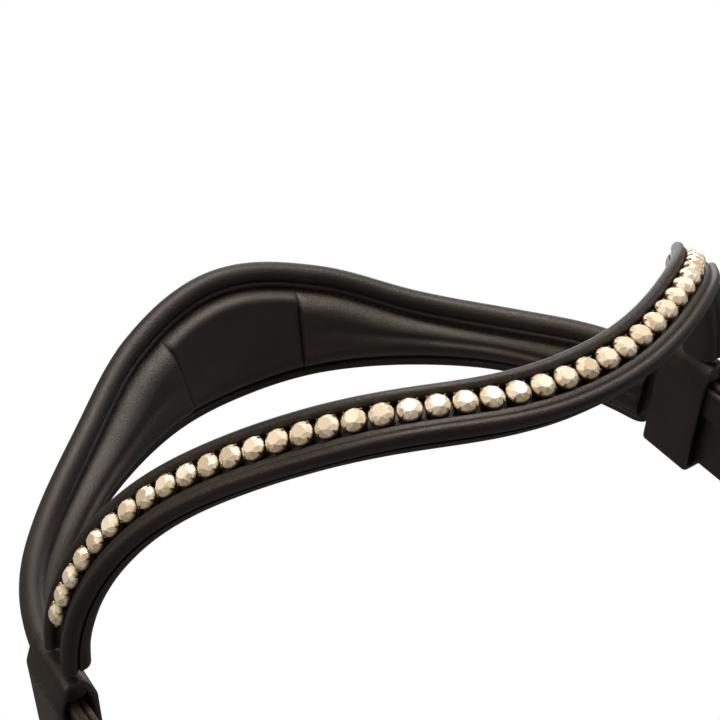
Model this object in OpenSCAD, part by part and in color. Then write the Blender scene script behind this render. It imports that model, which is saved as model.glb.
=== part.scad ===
// Snaffle bridle headstall, without bit and reins: padded headpiece, browband with one row of crystals,
// cheekpieces, cavesson noseband and throatlash, all buckled up as it hangs from its poll.
// Millimetres. +Z is up, the horse faces -Y, +X is the horse's left side as seen from the front.
// The origin is the middle of the arch that lies on the poll.

/* [Headpiece] */
// Length over the poll from one browband loop to the other
crown_len = 400; // [396:1:404]
// Thickness of the headpiece leather
crown_t = 3.5; // [3:0.1:4]
// Thickness of the padded panels where they are fullest
panel_t = 8; // [6:0.5:9]
// Width of the rolled front edge
roll_w = 7; // [6:0.5:8]
// Width of the thin rolled rear edge
rear_w = 3; // [2.5:0.5:4]

/* [Browband] */
// Length along the front from one branch to the other
band_len = 384; // [380:1:388]
// Distance from one crystal to the next
stone_pitch = 7; // [6.9:0.05:7.2]
// Across size of one crystal
stone_d = 6.4; // [5.8:0.1:6.6]
// Number of crystals on each side of the middle one
stones_side = 25; // [20:1:25]
// Height of the loops that hold the headpiece branches
loop_h = 23; // [18:1:24]

/* [Straps] */
// Width of the cheekpieces and their billets
cheek_w = 16; // [14:1:16]
// Width of the throatlash and the noseband hangers
narrow_w = 13; // [11:1:13]
// Thickness of a single strap
strap_t = 3; // [2.6:0.1:3]
// Distance from the buckle bar to the middle of the bit loop
cheek_drop = 235; // [225:5:240]
// Height of the front of the noseband
nose_h = 30; // [26:1:34]
// Depth of the throatlash below its buckles
throat_drop = 130; // [120:5:135]
// Inward lean of the hanging straps, in degrees
lean = 8; // [7:0.5:9]

/* [Buckles] */
// Distance from the bar to the far side of the frame
buckle_l = 20; // [19:0.5:21]
// Thickness of the frame
wire_d = 3; // [2.6:0.1:3]
// Width of the tongue
tongue_w = 3; // [2.6:0.1:3.2]

/* [Hidden] */
$fn = 40;
// Angles and offsets at evenly spaced places from the middle of a curve to its end
CROWN_TURN = [0, 22, 37, 51, 71, 90];       // how far the headpiece has turned down
CROWN_TILT = [19, 22, 21, 15, 8, 0];        // how far its front edge is lifted
CROWN_FRONT = [30, 22, 11, 9, 13.5, 18.5];  // how far it reaches forward, cut back for the ears
CROWN_REAR = [23, 20.5, 19, 18.5, 20.5, 21];// how far it reaches backward
BAND_TURN = [0, 2, 33, 42, 57, 85];         // how far the browband has turned back
BAND_RISE = [0, 23, 35, 28, 9, -6];         // how steeply it climbs
BAND_TIP = [-20, -11, -2, 4, 4, 2];         // how far its upper edge leans inward

HALF = 20;            // stations along half of a curve
FINE = 4;             // steps walked from one station to the next
SEAM = 3;             // station where the middle panel meets the side panels
PANEL_LAST = 18;      // station where the panels and rolled edges end
WIDE_FROM = 19;       // station from which the bare strap has its full width
PANEL_EDGE = 2;       // thickness of a panel along its stitched edges
GAP = 0.3;            // open line between a panel and a roll

BAND_TOP = 7;         // upper edge above the crystals' middle line
BAND_LOW = 8.5;       // lower edge below it
CHANNEL = 3.5;        // half width of the crystal channel
BAND_FACE = -1.2;     // face of the browband leather, behind the crystals' girdle
BAND_BACK = -4;       // back of the browband leather
LINING_BACK = -9;     // back of the browband padding
CUP_FACE = -0.3;      // face of the metal settings

BRANCH_Y0 = -CROWN_FRONT[5];                // front edge of the branch inside the loop
BRANCH_Y1 = CROWN_REAR[5];
EDGE_IN = 0.1;        // a billet is this much inside the branch that it is cut from
BILLET_T = crown_t - 2 * EDGE_IN;
CHEEK_Y = BRANCH_Y0 + cheek_w / 2 + EDGE_IN;
THROAT_Y = BRANCH_Y1 - narrow_w / 2 - EDGE_IN;
SPLIT_Z = -156;       // where a branch divides into cheek billet and throatlash billet
BEND = 25;            // length over which the straps turn to their lean
LOOP_WALL = 2.4;
LOOP_FREE = 1;        // room between a loop and the straps inside it
LOOP_FRONT = 28;      // the loops' stitched front, forward of the origin
LOOP_TOP = -115;      // top of the loops
NOSE_BILLET_T = 2.5;

BAR_Z = -45;          // cheek and throatlash buckle bars below the end of the bend
NOSE_BAR_Z = -120;    // noseband buckle bars
NOSE_X = -14;         // noseband hangers lie this far inside the cheekpieces
FOLD_IN = 1.6;        // inner radius of the leather fold round a bar
FOLD_OUT = 3.9;       // its outer radius
FOLD_HALF = 2.6;      // half thickness of the doubled strap below the fold
FOLD_END = -42;       // where the folded-back layer is thinned away
SINGLE_Z = -50;       // where the strap is single again
BILLET_UNDER = -3.4;  // a billet's middle where it passes under the frame
BILLET_OVER = 6;      // where it passes over the bar
BILLET_REST = 4.6;    // where it lies on the strap below
BILLET_END = -60;
HOLE_R = 2;
HOLE_STEP = 20;
EYE_R = 3.1;
BAR_FIT = 0.06;       // running fit of the tongue's eye on the bar
BIT_BORE = 5;
BIT_FOLD = 8;
TAIL = 60;            // length of the strap end folded back above the bit loop
TAIL_BACK = -5.8;

NOSE_SIDE_Y0 = -20;   // straight sides of the noseband run from here
NOSE_SIDE_Y1 = 35;    // to here
NOSE_DEPTH = 95;
NOSE_T = 3.5;
NOSE_PAD = 8;
CHIN_R = 32;
CHIN_START = 42;      // the chin billet is flat until this far before its bar
CHIN_W = 19;
CHIN_BAR_X = -8;
CHIN_LAP = -50;       // the chin billet ends this far past its bar

// ---- curves ----

// Smooth value at u, from 0 to 1, through evenly spaced values
function along(v, u, level = false) =
  let (n = len(v) - 1,
       i = min(floor(u * n), n - 1),
       f = u * n - i,
       a = v[i],
       b = v[i + 1],
       ma = i == 0 ? (level ? 0 : b - a) : (b - v[i - 1]) / 2,
       mb = i == n - 1 ? b - a : (v[i + 2] - a) / 2)
  (2 * pow(f, 3) - 3 * pow(f, 2) + 1) * a + (pow(f, 3) - 2 * pow(f, 2) + f) * ma
  + (3 * pow(f, 2) - 2 * pow(f, 3)) * b + (pow(f, 3) - pow(f, 2)) * mb;

function unit(v) = v / norm(v);
function mirror_x(p) = [for (i = [0:len(p) - 1]) i == 0 ? -p[0] : p[i]];
function ease(a, b, f) = a + (b - a) * (1 - cos(180 * max(0, min(1, f)))) / 2;

// Points reached by walking half a curve in small straight steps
function walk(turn, n, step) =
  [for (i = 0, p = [0, 0, 0]; i <= n; p = p + step * heading(turn, (i + 0.5) / n), i = i + 1) p];

function heading(turn, u) =
  turn == "crown"
  ? let (a = along(CROWN_TURN, u)) [cos(a), 0, -sin(a)]
  : let (a = along(BAND_TURN, u), e = along(BAND_RISE, u)) [cos(a) * cos(e), sin(a) * cos(e), sin(e)];

CROWN_PATH = walk("crown", FINE * HALF, crown_len / 2 / HALF / FINE);
BAND_WALK = walk("band", FINE * HALF, band_len / 2 / HALF / FINE);
BRANCH = CROWN_PATH[FINE * HALF];                      // where the arch becomes a straight branch
BAND_MIDDLE = [0, -31, -129] - BAND_WALK[FINE * HALF]; // puts the browband's ends in front of the loops

// Headpiece station k, from -HALF to HALF: its place, forward direction and outward direction
function crown_at(k) =
  let (u = abs(k) / HALF,
       a = along(CROWN_TURN, u),
       t = along(CROWN_TILT, u, true),
       o = [sin(a), 0, cos(a)],
       fw = sin(t) * o - cos(t) * [0, 1, 0],
       up = cos(t) * o + sin(t) * [0, 1, 0],
       front = CROWN_PATH[FINE * abs(k)] + along(CROWN_FRONT, u, true) / cos(t) * fw,
       w = (along(CROWN_FRONT, u, true) + along(CROWN_REAR, u, true)) / cos(t))
  k < 0 ? [mirror_x(front), mirror_x(fw), mirror_x(up), w, u] : [front, fw, up, w, u];

// A section given as [distance behind the front edge, outward] points becomes a ring in space
function crown_ring(k, section) = let (c = crown_at(k)) [for (q = section) c[0] - q[0] * c[1] + q[1] * c[2]];

// Browband station k: its place on the crystals' line, outward and upward directions
function band_at(k) =
  let (u = abs(k) / HALF,
       a = along(BAND_TURN, u),
       e = along(BAND_RISE, u),
       tip = along(BAND_TIP, u, true),
       t = [cos(a) * cos(e), sin(a) * cos(e), sin(e)],
       o = [sin(a), -cos(a), 0],
       v = unit(cross(o, t)),
       up = cos(tip) * v - sin(tip) * o,
       out = cos(tip) * o + sin(tip) * v,
       place = [0, BAND_MIDDLE[1], BAND_MIDDLE[2]] + BAND_WALK[FINE * abs(k)])
  k < 0 ? [mirror_x(place), mirror_x(out), mirror_x(up)] : [place, out, up];

// A section given as [upward, outward] points becomes a ring in space
function band_ring(k, section) = let (c = band_at(k)) [for (q = section) c[0] + q[0] * c[2] + q[1] * c[1]];

// Closed surface through a row of rings; other = true splits its faces along the other diagonal,
// so that two pieces that share a curved face meet exactly
module skin(rings, other = false) {
  m = len(rings[0]);
  n = len(rings);
  sides = [for (i = [0:n - 2], j = [0:m - 1])
    let (k = (j + 1) % m, a = i * m + j, b = i * m + k, c = (i + 1) * m + k, d = (i + 1) * m + j)
    each other ? [[a, d, b], [b, d, c]] : [[a, c, b], [a, d, c]]];
  caps = [[for (j = [0:m - 1]) j], [for (j = [m - 1:-1:0]) (n - 1) * m + j]];
  polyhedron([for (r = rings) each r], concat(sides, caps));
}

// ---- flat straps ----

function side_step(pts, i) = let (t = unit(pts[min(i + 1, len(pts) - 1)] - pts[max(i - 1, 0)])) [-t[1], t[0]];
function beside(pts, d) = [for (i = [0:len(pts) - 1]) pts[i] + d * side_step(pts, i)];
function reversed(v) = [for (i = [len(v) - 1:-1:0]) v[i]];

// Outline in [outward, up], carried across the strap's width
module across(w) {
  rotate([90, 0, 0])
    linear_extrude(w, center = true)
      children();
}

// Strap of even thickness along a bent middle line of [outward, up] points
module bent_strap(pts, t, w) {
  across(w)
    polygon(concat(beside(pts, t / 2), reversed(beside(pts, -t / 2))));
}

// The straps' plane below the bend, for the side s = 1 (left of the horse) or -1
HANG_X = BRANCH[0] + crown_t / 2 - BEND * sin(lean / 2);
HANG_Z = SPLIT_Z - BEND * cos(lean / 2);
module hang(s) {
  mirror([s < 0 ? 1 : 0, 0, 0])
    translate([HANG_X, 0, HANG_Z])
      rotate([0, lean, 0])
        children();
}
function hang_x(p) = HANG_X + p[0] * cos(lean) + p[1] * sin(lean);
function hang_z(p) = HANG_Z - p[0] * sin(lean) + p[1] * cos(lean);
// The same place the other way round, from [outward, up] to the straps' own directions
function in_hang(p) =
  [(p[0] - HANG_X) * cos(lean) - (p[1] - HANG_Z) * sin(lean), (p[0] - HANG_X) * sin(lean) + (p[1] - HANG_Z) * cos(lean)];

// ---- buckle kit: the bar is at the origin along Y, the strap hangs down, the billet comes from above ----

// Middle line of a billet from z0 above the bar to z1 below it, arriving at x0
function billet_line(x0, z0, z1) =
  [for (z = [z0, each [for (i = [0:4]) 38 - 3.5 * i], each [for (i = [0:8]) 17 - 2 * i], -3, -7, -11, z1])
    [z > 17 ? ease(BILLET_UNDER, x0, (z - 22) / 16)
     : z > 1 ? ease(BILLET_OVER, BILLET_UNDER, (z - 1) / 16)
     : ease(BILLET_REST, BILLET_OVER, (z + 11) / 10), z]];

module billet_holes(w, lap) {
  // punched holes along the free end
  for (i = [1:2])
    translate([0, 0, -i * HOLE_STEP - 2])
      rotate([0, 90, 0])
        cylinder(r = HOLE_R, h = 20, center = true);
  // the hole that the tongue stands in, drawn long
  translate([0, 0, 5.5])
    cube([30, tongue_w + 1.2, 14], center = true);
}

module frame(w) {
  side = w / 2 + 1 + wire_d / 2;
  difference() {
    rotate([0, 90, 0])
      linear_extrude(wire_d, center = true)
        difference() {
          translate([-buckle_l / 2, 0])
            rounded(buckle_l + wire_d, 2 * side + wire_d, wire_d);
          translate([-buckle_l / 2, 0])
            rounded(buckle_l - wire_d, 2 * side - wire_d, 1);
        }
    cube([2 * wire_d, 2 * side - wire_d, wire_d + 0.4], center = true);
  }
  rotate([90, 0, 0])
    cylinder(d = wire_d, h = 2 * side - wire_d + 0.2, center = true);
}

module rounded(a, b, r) {
  square([a, b - 2 * r], center = true);
  square([a - 2 * r, b], center = true);
  for (x = [-1, 1], y = [-1, 1])
    translate([x * (a / 2 - r), y * (b / 2 - r)])
      circle(r);
}

module tongue() {
  difference() {
    union() {
      rotate([90, 0, 0])
        cylinder(r = EYE_R, h = tongue_w, center = true);
      translate([wire_d / 2 + 0.1, -tongue_w / 2, 0])
        cube([2.2, tongue_w, buckle_l + 2.5]);
    }
    rotate([90, 0, 0])
      cylinder(r = wire_d / 2 + BAR_FIT, h = 2 * tongue_w, center = true);
  }
}

// Side outline of a strap folded round the bar and stitched back on itself, single below
module fold_outline() {
  difference() {
    union() {
      circle(FOLD_OUT);
      polygon([[-FOLD_OUT, 0], [FOLD_OUT, 0], [FOLD_HALF, -9], [FOLD_HALF, FOLD_END],
        [strap_t - FOLD_HALF, SINGLE_Z], [-FOLD_HALF, SINGLE_Z], [-FOLD_HALF, -9]]);
    }
    circle(FOLD_IN);
  }
}

// Slot in a fold for the tongue
module tongue_slot() {
  translate([0, 0, 1])
    cube([20, tongue_w + 1.4, 12], center = true);
}

module fold(w) {
  difference() {
    across(w)
      fold_outline();
    tongue_slot();
  }
}

// Leather loop round the doubled strap and the billet; free is the room round them
module keeper(w, x0, x1, free, h) {
  wall = 1.6;
  translate([(x0 + x1) / 2, 0, 0])
    linear_extrude(h)
      difference() {
        rounded(x1 - x0 + 2 * wall, w + 2 * free + 2 * wall, 1);
        square([x1 - x0, w + 2 * free], center = true);
      }
}

module fixed_keeper(w) {
  translate([0, 0, -21])
    keeper(w, -FOLD_HALF, BILLET_REST + crown_t / 2 + 0.2, 0.4, 8);
}

module runner(w) {
  translate([0, 0, -39])
    keeper(w, -FOLD_HALF - 0.35, BILLET_REST + crown_t / 2 + 0.35, 0.6, 8);
}

// ---- headpiece ----

// How far the bare strap keeps back from the edges to leave room for the rolls
function roll_room(k) = max(0, min(1, (WIDE_FROM - abs(k)) / (WIDE_FROM - PANEL_LAST)));

function strap_section(k) =
  let (w = crown_at(k)[3], f = roll_w * roll_room(k), r = w - rear_w * roll_room(k))
  [[f, 0], [f + GAP, 0], [r - GAP, 0], [r, 0], [r, crown_t], [f, crown_t]];

function front_roll_section() =
  concat([[roll_w, 0], [roll_w, crown_t]],
    [for (a = [60:30:300]) [4 + 4 * cos(a), 4.1 * sin(a)]], [[roll_w, -3.2]]);

function rear_roll_section(w) =
  concat([[w - rear_w, -1], [w - rear_w, 0]] , [[w - rear_w, crown_t]],
    [for (a = [60:-30:-60]) [w - rear_w + rear_w * cos(a), 1.2 + 2.4 * sin(a)]]);

// Padded panel: flat against the strap, swelling toward the horse
function panel_section(w, full) =
  let (a = roll_w + GAP, b = w - rear_w - GAP)
  concat([[a, 0]],
    [for (f = [0, 0.12, 0.3, 0.5, 0.7, 0.88, 1])
      [a + (b - a) * f, -PANEL_EDGE - (full - PANEL_EDGE) * pow(max(0, sin(180 * f)), 0.7)]],
    [[b, 0]]);

module crown_panel(k0, k1) {
  skin([for (k = [k0:k1])
    crown_ring(k, panel_section(crown_at(k)[3], k == k0 || k == k1 ? 0.6 * panel_t : panel_t))], true);
}

// Inward and downward travel along the bend, f from 0 to 1
function bend_in(f) = BEND * f * sin(lean * f / 2);
function bend_down(f) = BEND * f * cos(lean * f / 2);

// A billet's middle line from inside the branch, round the bend and down to its free end
BRANCH_MID = BRANCH[0] + crown_t / 2;
function branch_line() =
  concat([in_hang([BRANCH_MID, SPLIT_Z + 2]) - [0, BAR_Z]],
    [for (i = [0:4]) in_hang([BRANCH_MID - bend_in(i / 5), SPLIT_Z - bend_down(i / 5)]) - [0, BAR_Z]],
    billet_line(0, -BAR_Z, BILLET_END));

module branch_billets() {
  for (s = [-1, 1], strap = [[CHEEK_Y, cheek_w], [THROAT_Y, narrow_w]])
    hang(s)
      translate([0, strap[0], BAR_Z])
        difference() {
          bent_strap(branch_line(), BILLET_T, strap[1]);
          billet_holes(strap[1], BILLET_END);
        }
}

// The strap's last ring carried straight down to where it divides, its inner face a hair fuller
function branch_foot(s) =
  let (c = strap_section(HALF),
       full = [for (i = [0:5]) i == 1 || i == 2 ? c[i] - [0, 0.02] : c[i]])
  [for (q = crown_ring(s * HALF, full)) [q[0], q[1], SPLIT_Z]];

module headpiece_strap() {
  color("#1d1916") {
    skin(concat([branch_foot(-1)], [for (k = [-HALF:HALF]) crown_ring(k, strap_section(k))], [branch_foot(1)]));
    branch_billets();
  }
}

module crown_padding_centre() {
  color("#26211e")
    crown_panel(-SEAM, SEAM);
}

module crown_padding(s) {
  color("#26211e")
    crown_panel(s < 0 ? -PANEL_LAST : SEAM, s < 0 ? -SEAM : PANEL_LAST);
}

module crown_front_roll() {
  color("#2a2521")
    skin([for (k = [-PANEL_LAST:PANEL_LAST]) crown_ring(k, reversed(front_roll_section()))], true);
}

module crown_rear_roll() {
  color("#2a2521")
    skin([for (k = [-PANEL_LAST:PANEL_LAST]) crown_ring(k, reversed(rear_roll_section(crown_at(k)[3])))], true);
}

// ---- browband ----

BAND_EDGE_TOP = BAND_TOP - 0.8;
BAND_EDGE_LOW = 1 - BAND_LOW;

module band_piece(section, other = true) {
  skin([for (k = [-HALF:HALF]) band_ring(k, section)], other);
}

module browband_strap() {
  color("#1d1916")
    band_piece([[BAND_EDGE_TOP, BAND_FACE], [CHANNEL + 0.1, BAND_FACE], [CHANNEL, BAND_FACE], [-CHANNEL, BAND_FACE],
      [-CHANNEL - 0.1, BAND_FACE], [BAND_EDGE_LOW, BAND_FACE], [BAND_EDGE_LOW, BAND_BACK],
      [BAND_EDGE_TOP, BAND_BACK]], false);
}

module browband_upper_roll() {
  color("#2a2521")
    band_piece([[CHANNEL + 0.1, BAND_FACE], [BAND_EDGE_TOP, BAND_FACE], [BAND_TOP, BAND_FACE - 0.3],
      [BAND_TOP - 0.2, 0.1], [BAND_TOP - 1.2, 1], [CHANNEL + 1.2, 1], [CHANNEL + 0.2, 0.1]]);
}

module browband_lower_roll() {
  color("#2a2521")
    band_piece([[BAND_EDGE_LOW, BAND_FACE], [-CHANNEL - 0.1, BAND_FACE], [-CHANNEL - 0.2, 0.1],
      [-CHANNEL - 1.2, 1], [-BAND_LOW + 1.6, 0.9], [-BAND_LOW + 0.3, -0.2], [-BAND_LOW, BAND_FACE - 0.4]]);
}

module browband_lining() {
  color("#26211e")
    band_piece([[BAND_EDGE_TOP, BAND_BACK], [BAND_EDGE_LOW, BAND_BACK], [-BAND_LOW, -5.5], [-BAND_LOW + 1, -7.6],
      [-4, LINING_BACK], [2.5, LINING_BACK], [BAND_TOP - 1.8, -7.6], [BAND_TOP - 0.6, -5.5]]);
}

STONE_LAST = floor(stones_side * stone_pitch / (band_len / 2) * HALF) + 1;
module crystal_channel() {
  color("#8a7a5e")
    skin([for (k = [-STONE_LAST:STONE_LAST])
      band_ring(k, [[-CHANNEL, BAND_FACE], [CHANNEL, BAND_FACE], [CHANNEL, CUP_FACE], [-CHANNEL, CUP_FACE]])], true);
}

// Place and directions at a distance along the browband from its middle
function band_between(s) =
  let (g = abs(s) / (band_len / 2) * HALF, k = min(floor(g), HALF - 1), f = g - k,
       a = band_at(k), b = band_at(k + 1), c = [for (i = [0:2]) a[i] * (1 - f) + b[i] * f])
  s < 0 ? [for (v = c) mirror_x(v)] : c;

module crystals() {
  color("#e0d0b0")
    for (i = [-stones_side:stones_side]) {
      c = band_between(i * stone_pitch);
      z = unit(c[1]);
      x = unit(cross(c[2], z));
      y = cross(z, x);
      multmatrix([[x[0], y[0], z[0], c[0][0]], [x[1], y[1], z[1], c[0][1]], [x[2], y[2], z[2], c[0][2]], [0, 0, 0, 1]]) {
        translate([0, 0, CUP_FACE + 0.02])
          cylinder(d = stone_d, h = 1.3);
        translate([0, 0, CUP_FACE + 1.32])
          cylinder(d1 = stone_d, d2 = 0.55 * stone_d, h = 1.3);
      }
    }
}

module browband_loop(s) {
  x0 = BRANCH[0] - NOSE_BILLET_T - LOOP_FREE;
  x1 = BRANCH[0] + crown_t + LOOP_FREE;
  y0 = BRANCH_Y0 - LOOP_FREE;
  y1 = BRANCH_Y1 + LOOP_FREE;
  w = LOOP_WALL;
  color("#231e1b")
    mirror([s < 0 ? 1 : 0, 0, 0])
      translate([0, 0, LOOP_TOP - loop_h])
        linear_extrude(loop_h)
          difference() {
            polygon([[x0 - w, y0], [x0 - 0.5, -LOOP_FRONT], [x1 - 1.5, -LOOP_FRONT], [x1 + w, y0],
              [x1 + w, y1 + 1], [x1 + 1, y1 + w], [x0 - 1, y1 + w], [x0 - w, y1 + 1]]);
            translate([x0, y0])
              square([x1 - x0, y1 - y0]);
          }
}

// ---- cheekpieces ----

module cheek_frame(s) {
  hang(s)
    translate([0, CHEEK_Y, BAR_Z])
      children();
}

module cheekpiece(s) {
  color("#1d1916")
    cheek_frame(s) {
      fold(cheek_w);
      difference() {
        across(cheek_w)
          cheek_tail_outline();
        translate([0, 0, -cheek_drop])
          rotate([90, 0, 0])
            translate([strap_t / 2 - FOLD_HALF, 0, 0])
              cylinder(r = BIT_BORE, h = 2 * cheek_w, center = true);
      }
    }
}

// Single strap from the fold down, turned round the bit loop and back up on the horse's side
module cheek_tail_outline() {
  face = strap_t - FOLD_HALF;
  translate([strap_t / 2 - FOLD_HALF, -cheek_drop])
    circle(BIT_FOLD);
  polygon([[face, SINGLE_Z], [face, -cheek_drop + 24], [strap_t / 2 - FOLD_HALF + 7.4, -cheek_drop + 3],
    [strap_t / 2 - FOLD_HALF - 7.4, -cheek_drop + 3], [TAIL_BACK, -cheek_drop + 24], [TAIL_BACK, -cheek_drop + TAIL],
    [-FOLD_HALF, -cheek_drop + TAIL + 3], [-FOLD_HALF, SINGLE_Z]]);
}

module cheek_buckle(s) {
  color("#c9ccd0")
    cheek_frame(s)
      frame(cheek_w);
}

module cheek_tongue(s) {
  color("#c9ccd0")
    cheek_frame(s)
      tongue();
}

module cheek_keeper(s) {
  color("#1d1916")
    cheek_frame(s)
      fixed_keeper(cheek_w);
}

module cheek_runner(s) {
  color("#1d1916")
    cheek_frame(s)
      runner(cheek_w);
}

module bit_runner(s) {
  color("#1d1916")
    cheek_frame(s)
      translate([0, 0, -cheek_drop + 28])
        keeper(cheek_w, TAIL_BACK - 0.35, strap_t - FOLD_HALF + 0.35, 0.6, 8);
}

// Stud on the horse's side: a neck through the folded-back end and a flat hook that points up
module hook_stud(s) {
  color("#c9ccd0")
    cheek_frame(s)
      translate([TAIL_BACK, 0, -cheek_drop + 47]) {
        rotate([0, -90, 0])
          cylinder(d = 3, h = 2.4);
        translate([-3.9, -2.5, -3])
          cube([1.6, 5, 12]);
      }
}

// ---- noseband ----

// Middle line of a noseband billet: straight in the loop, then inward to the hangers' plane
NOSE_BILLET_TOP = [BRANCH[0] - NOSE_BILLET_T / 2, BRANCH[2]];
NOSE_START = -55;
function nose_bend(f) =
  let (z = SPLIT_Z + 2, e = [hang_x([NOSE_X, NOSE_START]), hang_z([NOSE_X, NOSE_START])], h = z - e[1])
  [(2 * pow(f, 3) - 3 * pow(f, 2) + 1) * NOSE_BILLET_TOP[0] + (3 * pow(f, 2) - 2 * pow(f, 3)) * e[0]
   - (pow(f, 3) - pow(f, 2)) * h * tan(lean), z - f * h];
function nose_billet_line() =
  concat([for (p = [NOSE_BILLET_TOP, for (i = [0:7]) nose_bend(i / 8)]) in_hang(p) - [NOSE_X, NOSE_BAR_Z]],
    billet_line(0, NOSE_START - NOSE_BAR_Z, BILLET_END));

module noseband_billet(s) {
  color("#1d1916")
    nose_frame(s)
      difference() {
        bent_strap(nose_billet_line(), NOSE_BILLET_T, narrow_w);
        billet_holes(narrow_w, BILLET_END);
      }
}

module nose_frame(s) {
  hang(s)
    translate([NOSE_X, CHEEK_Y, NOSE_BAR_Z])
      children();
}

HANGER_TURN = -75;    // where a hanger turns to lie against the noseband
HANGER_DOWN = 26;
HANGER_MID = strap_t / 2 - FOLD_HALF;
module noseband_hanger(s) {
  turn = [HANGER_MID, HANGER_TURN];
  color("#1d1916")
    nose_frame(s) {
      fold(narrow_w);
      bent_strap([[HANGER_MID, SINGLE_Z], [HANGER_MID, HANGER_TURN + 4], turn + 3 * [sin(lean / 2), -cos(lean / 2)],
        turn + HANGER_DOWN * [sin(lean), -cos(lean)]], strap_t, narrow_w);
    }
}

// Outer face of the noseband's straight sides: the hangers' inner faces lie on it
NOSE_HALF = hang_x([NOSE_X + HANGER_MID, NOSE_BAR_Z + HANGER_TURN]) - strap_t / 2 - 0.4;
NOSE_TOP = hang_z([NOSE_X, NOSE_BAR_Z + HANGER_TURN]) - 1;

module noseband_buckle(s) {
  color("#c9ccd0")
    nose_frame(s)
      frame(narrow_w);
}

module noseband_tongue(s) {
  color("#c9ccd0")
    nose_frame(s)
      tongue();
}

module noseband_runner(s) {
  color("#1d1916")
    nose_frame(s)
      runner(narrow_w);
}

// Front half of the noseband in plan, moved inward by d
function nose_front(d) =
  concat([[NOSE_HALF - d, 0]],
    [for (a = [0:6:180]) [(NOSE_HALF - d) * cos(a), NOSE_SIDE_Y0 - (NOSE_DEPTH - d) * sin(a)]],
    [[d - NOSE_HALF, 0]]);

module nose_band(d0, d1, h) {
  translate([0, 0, NOSE_TOP - nose_h / 2 - h / 2])
    linear_extrude(h)
      polygon(concat(nose_front(d0), reversed(nose_front(d1))));
}

module noseband_strap() {
  color("#1d1916")
    nose_band(0, NOSE_T, nose_h);
}

module noseband_padding() {
  color("#26211e")
    nose_band(NOSE_T, NOSE_T + NOSE_PAD, nose_h + 3);
}

// Rear of the noseband in plan from the side to x1, middle line moved inward by d
function chin_line(d, x1) =
  concat([[NOSE_HALF - d, 0.2], [NOSE_HALF - d, NOSE_SIDE_Y1]],
    [for (a = [10:10:90]) [NOSE_HALF - CHIN_R + (CHIN_R - d) * cos(a), NOSE_SIDE_Y1 + (CHIN_R - d) * sin(a)]],
    [[x1, NOSE_SIDE_Y1 + CHIN_R - d]]);
CHIN_Y = NOSE_SIDE_Y1 + CHIN_R - 2.5;
CHIN_Z = NOSE_TOP - nose_h / 2;

// The chin buckle lies across the back: its strap runs to +X, its billet comes from -X
module chin_frame() {
  translate([CHIN_BAR_X, CHIN_Y, CHIN_Z])
    rotate([-90, 0, 90])
      children();
}

module flat_line(pts, t, w) {
  translate([0, 0, CHIN_Z - w / 2])
    linear_extrude(w)
      polygon(concat(beside(pts, t / 2), reversed(beside(pts, -t / 2))));
}

module chin_strap() {
  color("#1d1916") {
    chin_frame()
      fold(CHIN_W);
    flat_line(chin_line(2.5 + FOLD_HALF - strap_t / 2, CHIN_BAR_X - SINGLE_Z), strap_t, CHIN_W);
  }
}

module chin_billet() {
  color("#1d1916") {
    mirror([1, 0, 0])
      flat_line(chin_line(2.5, -CHIN_BAR_X - 0.5 + CHIN_START), strap_t, CHIN_W);
    chin_frame()
      difference() {
        bent_strap(billet_line(0, CHIN_START, CHIN_LAP), strap_t, CHIN_W);
        billet_holes(CHIN_W, CHIN_LAP);
      }
  }
}

module chin_buckle() {
  color("#c9ccd0")
    chin_frame()
      frame(CHIN_W);
}

module chin_tongue() {
  color("#c9ccd0")
    chin_frame()
      tongue();
}

module chin_keeper() {
  color("#1d1916")
    chin_frame()
      fixed_keeper(CHIN_W);
}

module chin_runner() {
  color("#1d1916")
    chin_frame()
      runner(CHIN_W);
}

// ---- throatlash ----

module throat_frame(s) {
  hang(s)
    translate([0, THROAT_Y, BAR_Z])
      children();
}

// The strap runs on from both folds and hangs in a deep curve
THROAT_START = [strap_t / 2 - FOLD_HALF, BAR_Z + SINGLE_Z];
THROAT_LOW = hang_z(THROAT_START) - throat_drop + 50;
function throat_point(f) =
  let (a = [hang_x(THROAT_START), hang_z(THROAT_START)],
       b = a - 60 * [sin(lean), cos(lean)],
       c = [62, THROAT_LOW],
       d = [0, THROAT_LOW])
  pow(1 - f, 3) * a + 3 * pow(1 - f, 2) * f * b + 3 * (1 - f) * pow(f, 2) * c + pow(f, 3) * d;

module throatlash_outline() {
  left = [for (i = [0:14]) throat_point(i / 14)];
  line = concat(left, [for (i = [13:-1:0]) mirror_x(left[i])]);
  polygon(concat(beside(line, strap_t / 2), reversed(beside(line, -strap_t / 2))));
  for (s = [0, 1])
    mirror([s, 0])
      translate([HANG_X, HANG_Z])
        rotate(-lean)
          translate([0, BAR_Z])
            fold_outline();
}

module throatlash_strap() {
  color("#1d1916")
    difference() {
      translate([0, THROAT_Y, 0])
        across(narrow_w)
          throatlash_outline();
      for (s = [-1, 1])
        throat_frame(s)
          tongue_slot();
    }
}

module throat_buckle(s) {
  color("#c9ccd0")
    throat_frame(s)
      frame(narrow_w);
}

module throat_tongue(s) {
  color("#c9ccd0")
    throat_frame(s)
      tongue();
}

module throat_keeper(s) {
  color("#1d1916")
    throat_frame(s)
      fixed_keeper(narrow_w);
}

module throat_runner(s) {
  color("#1d1916")
    throat_frame(s)
      runner(narrow_w);
}

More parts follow.
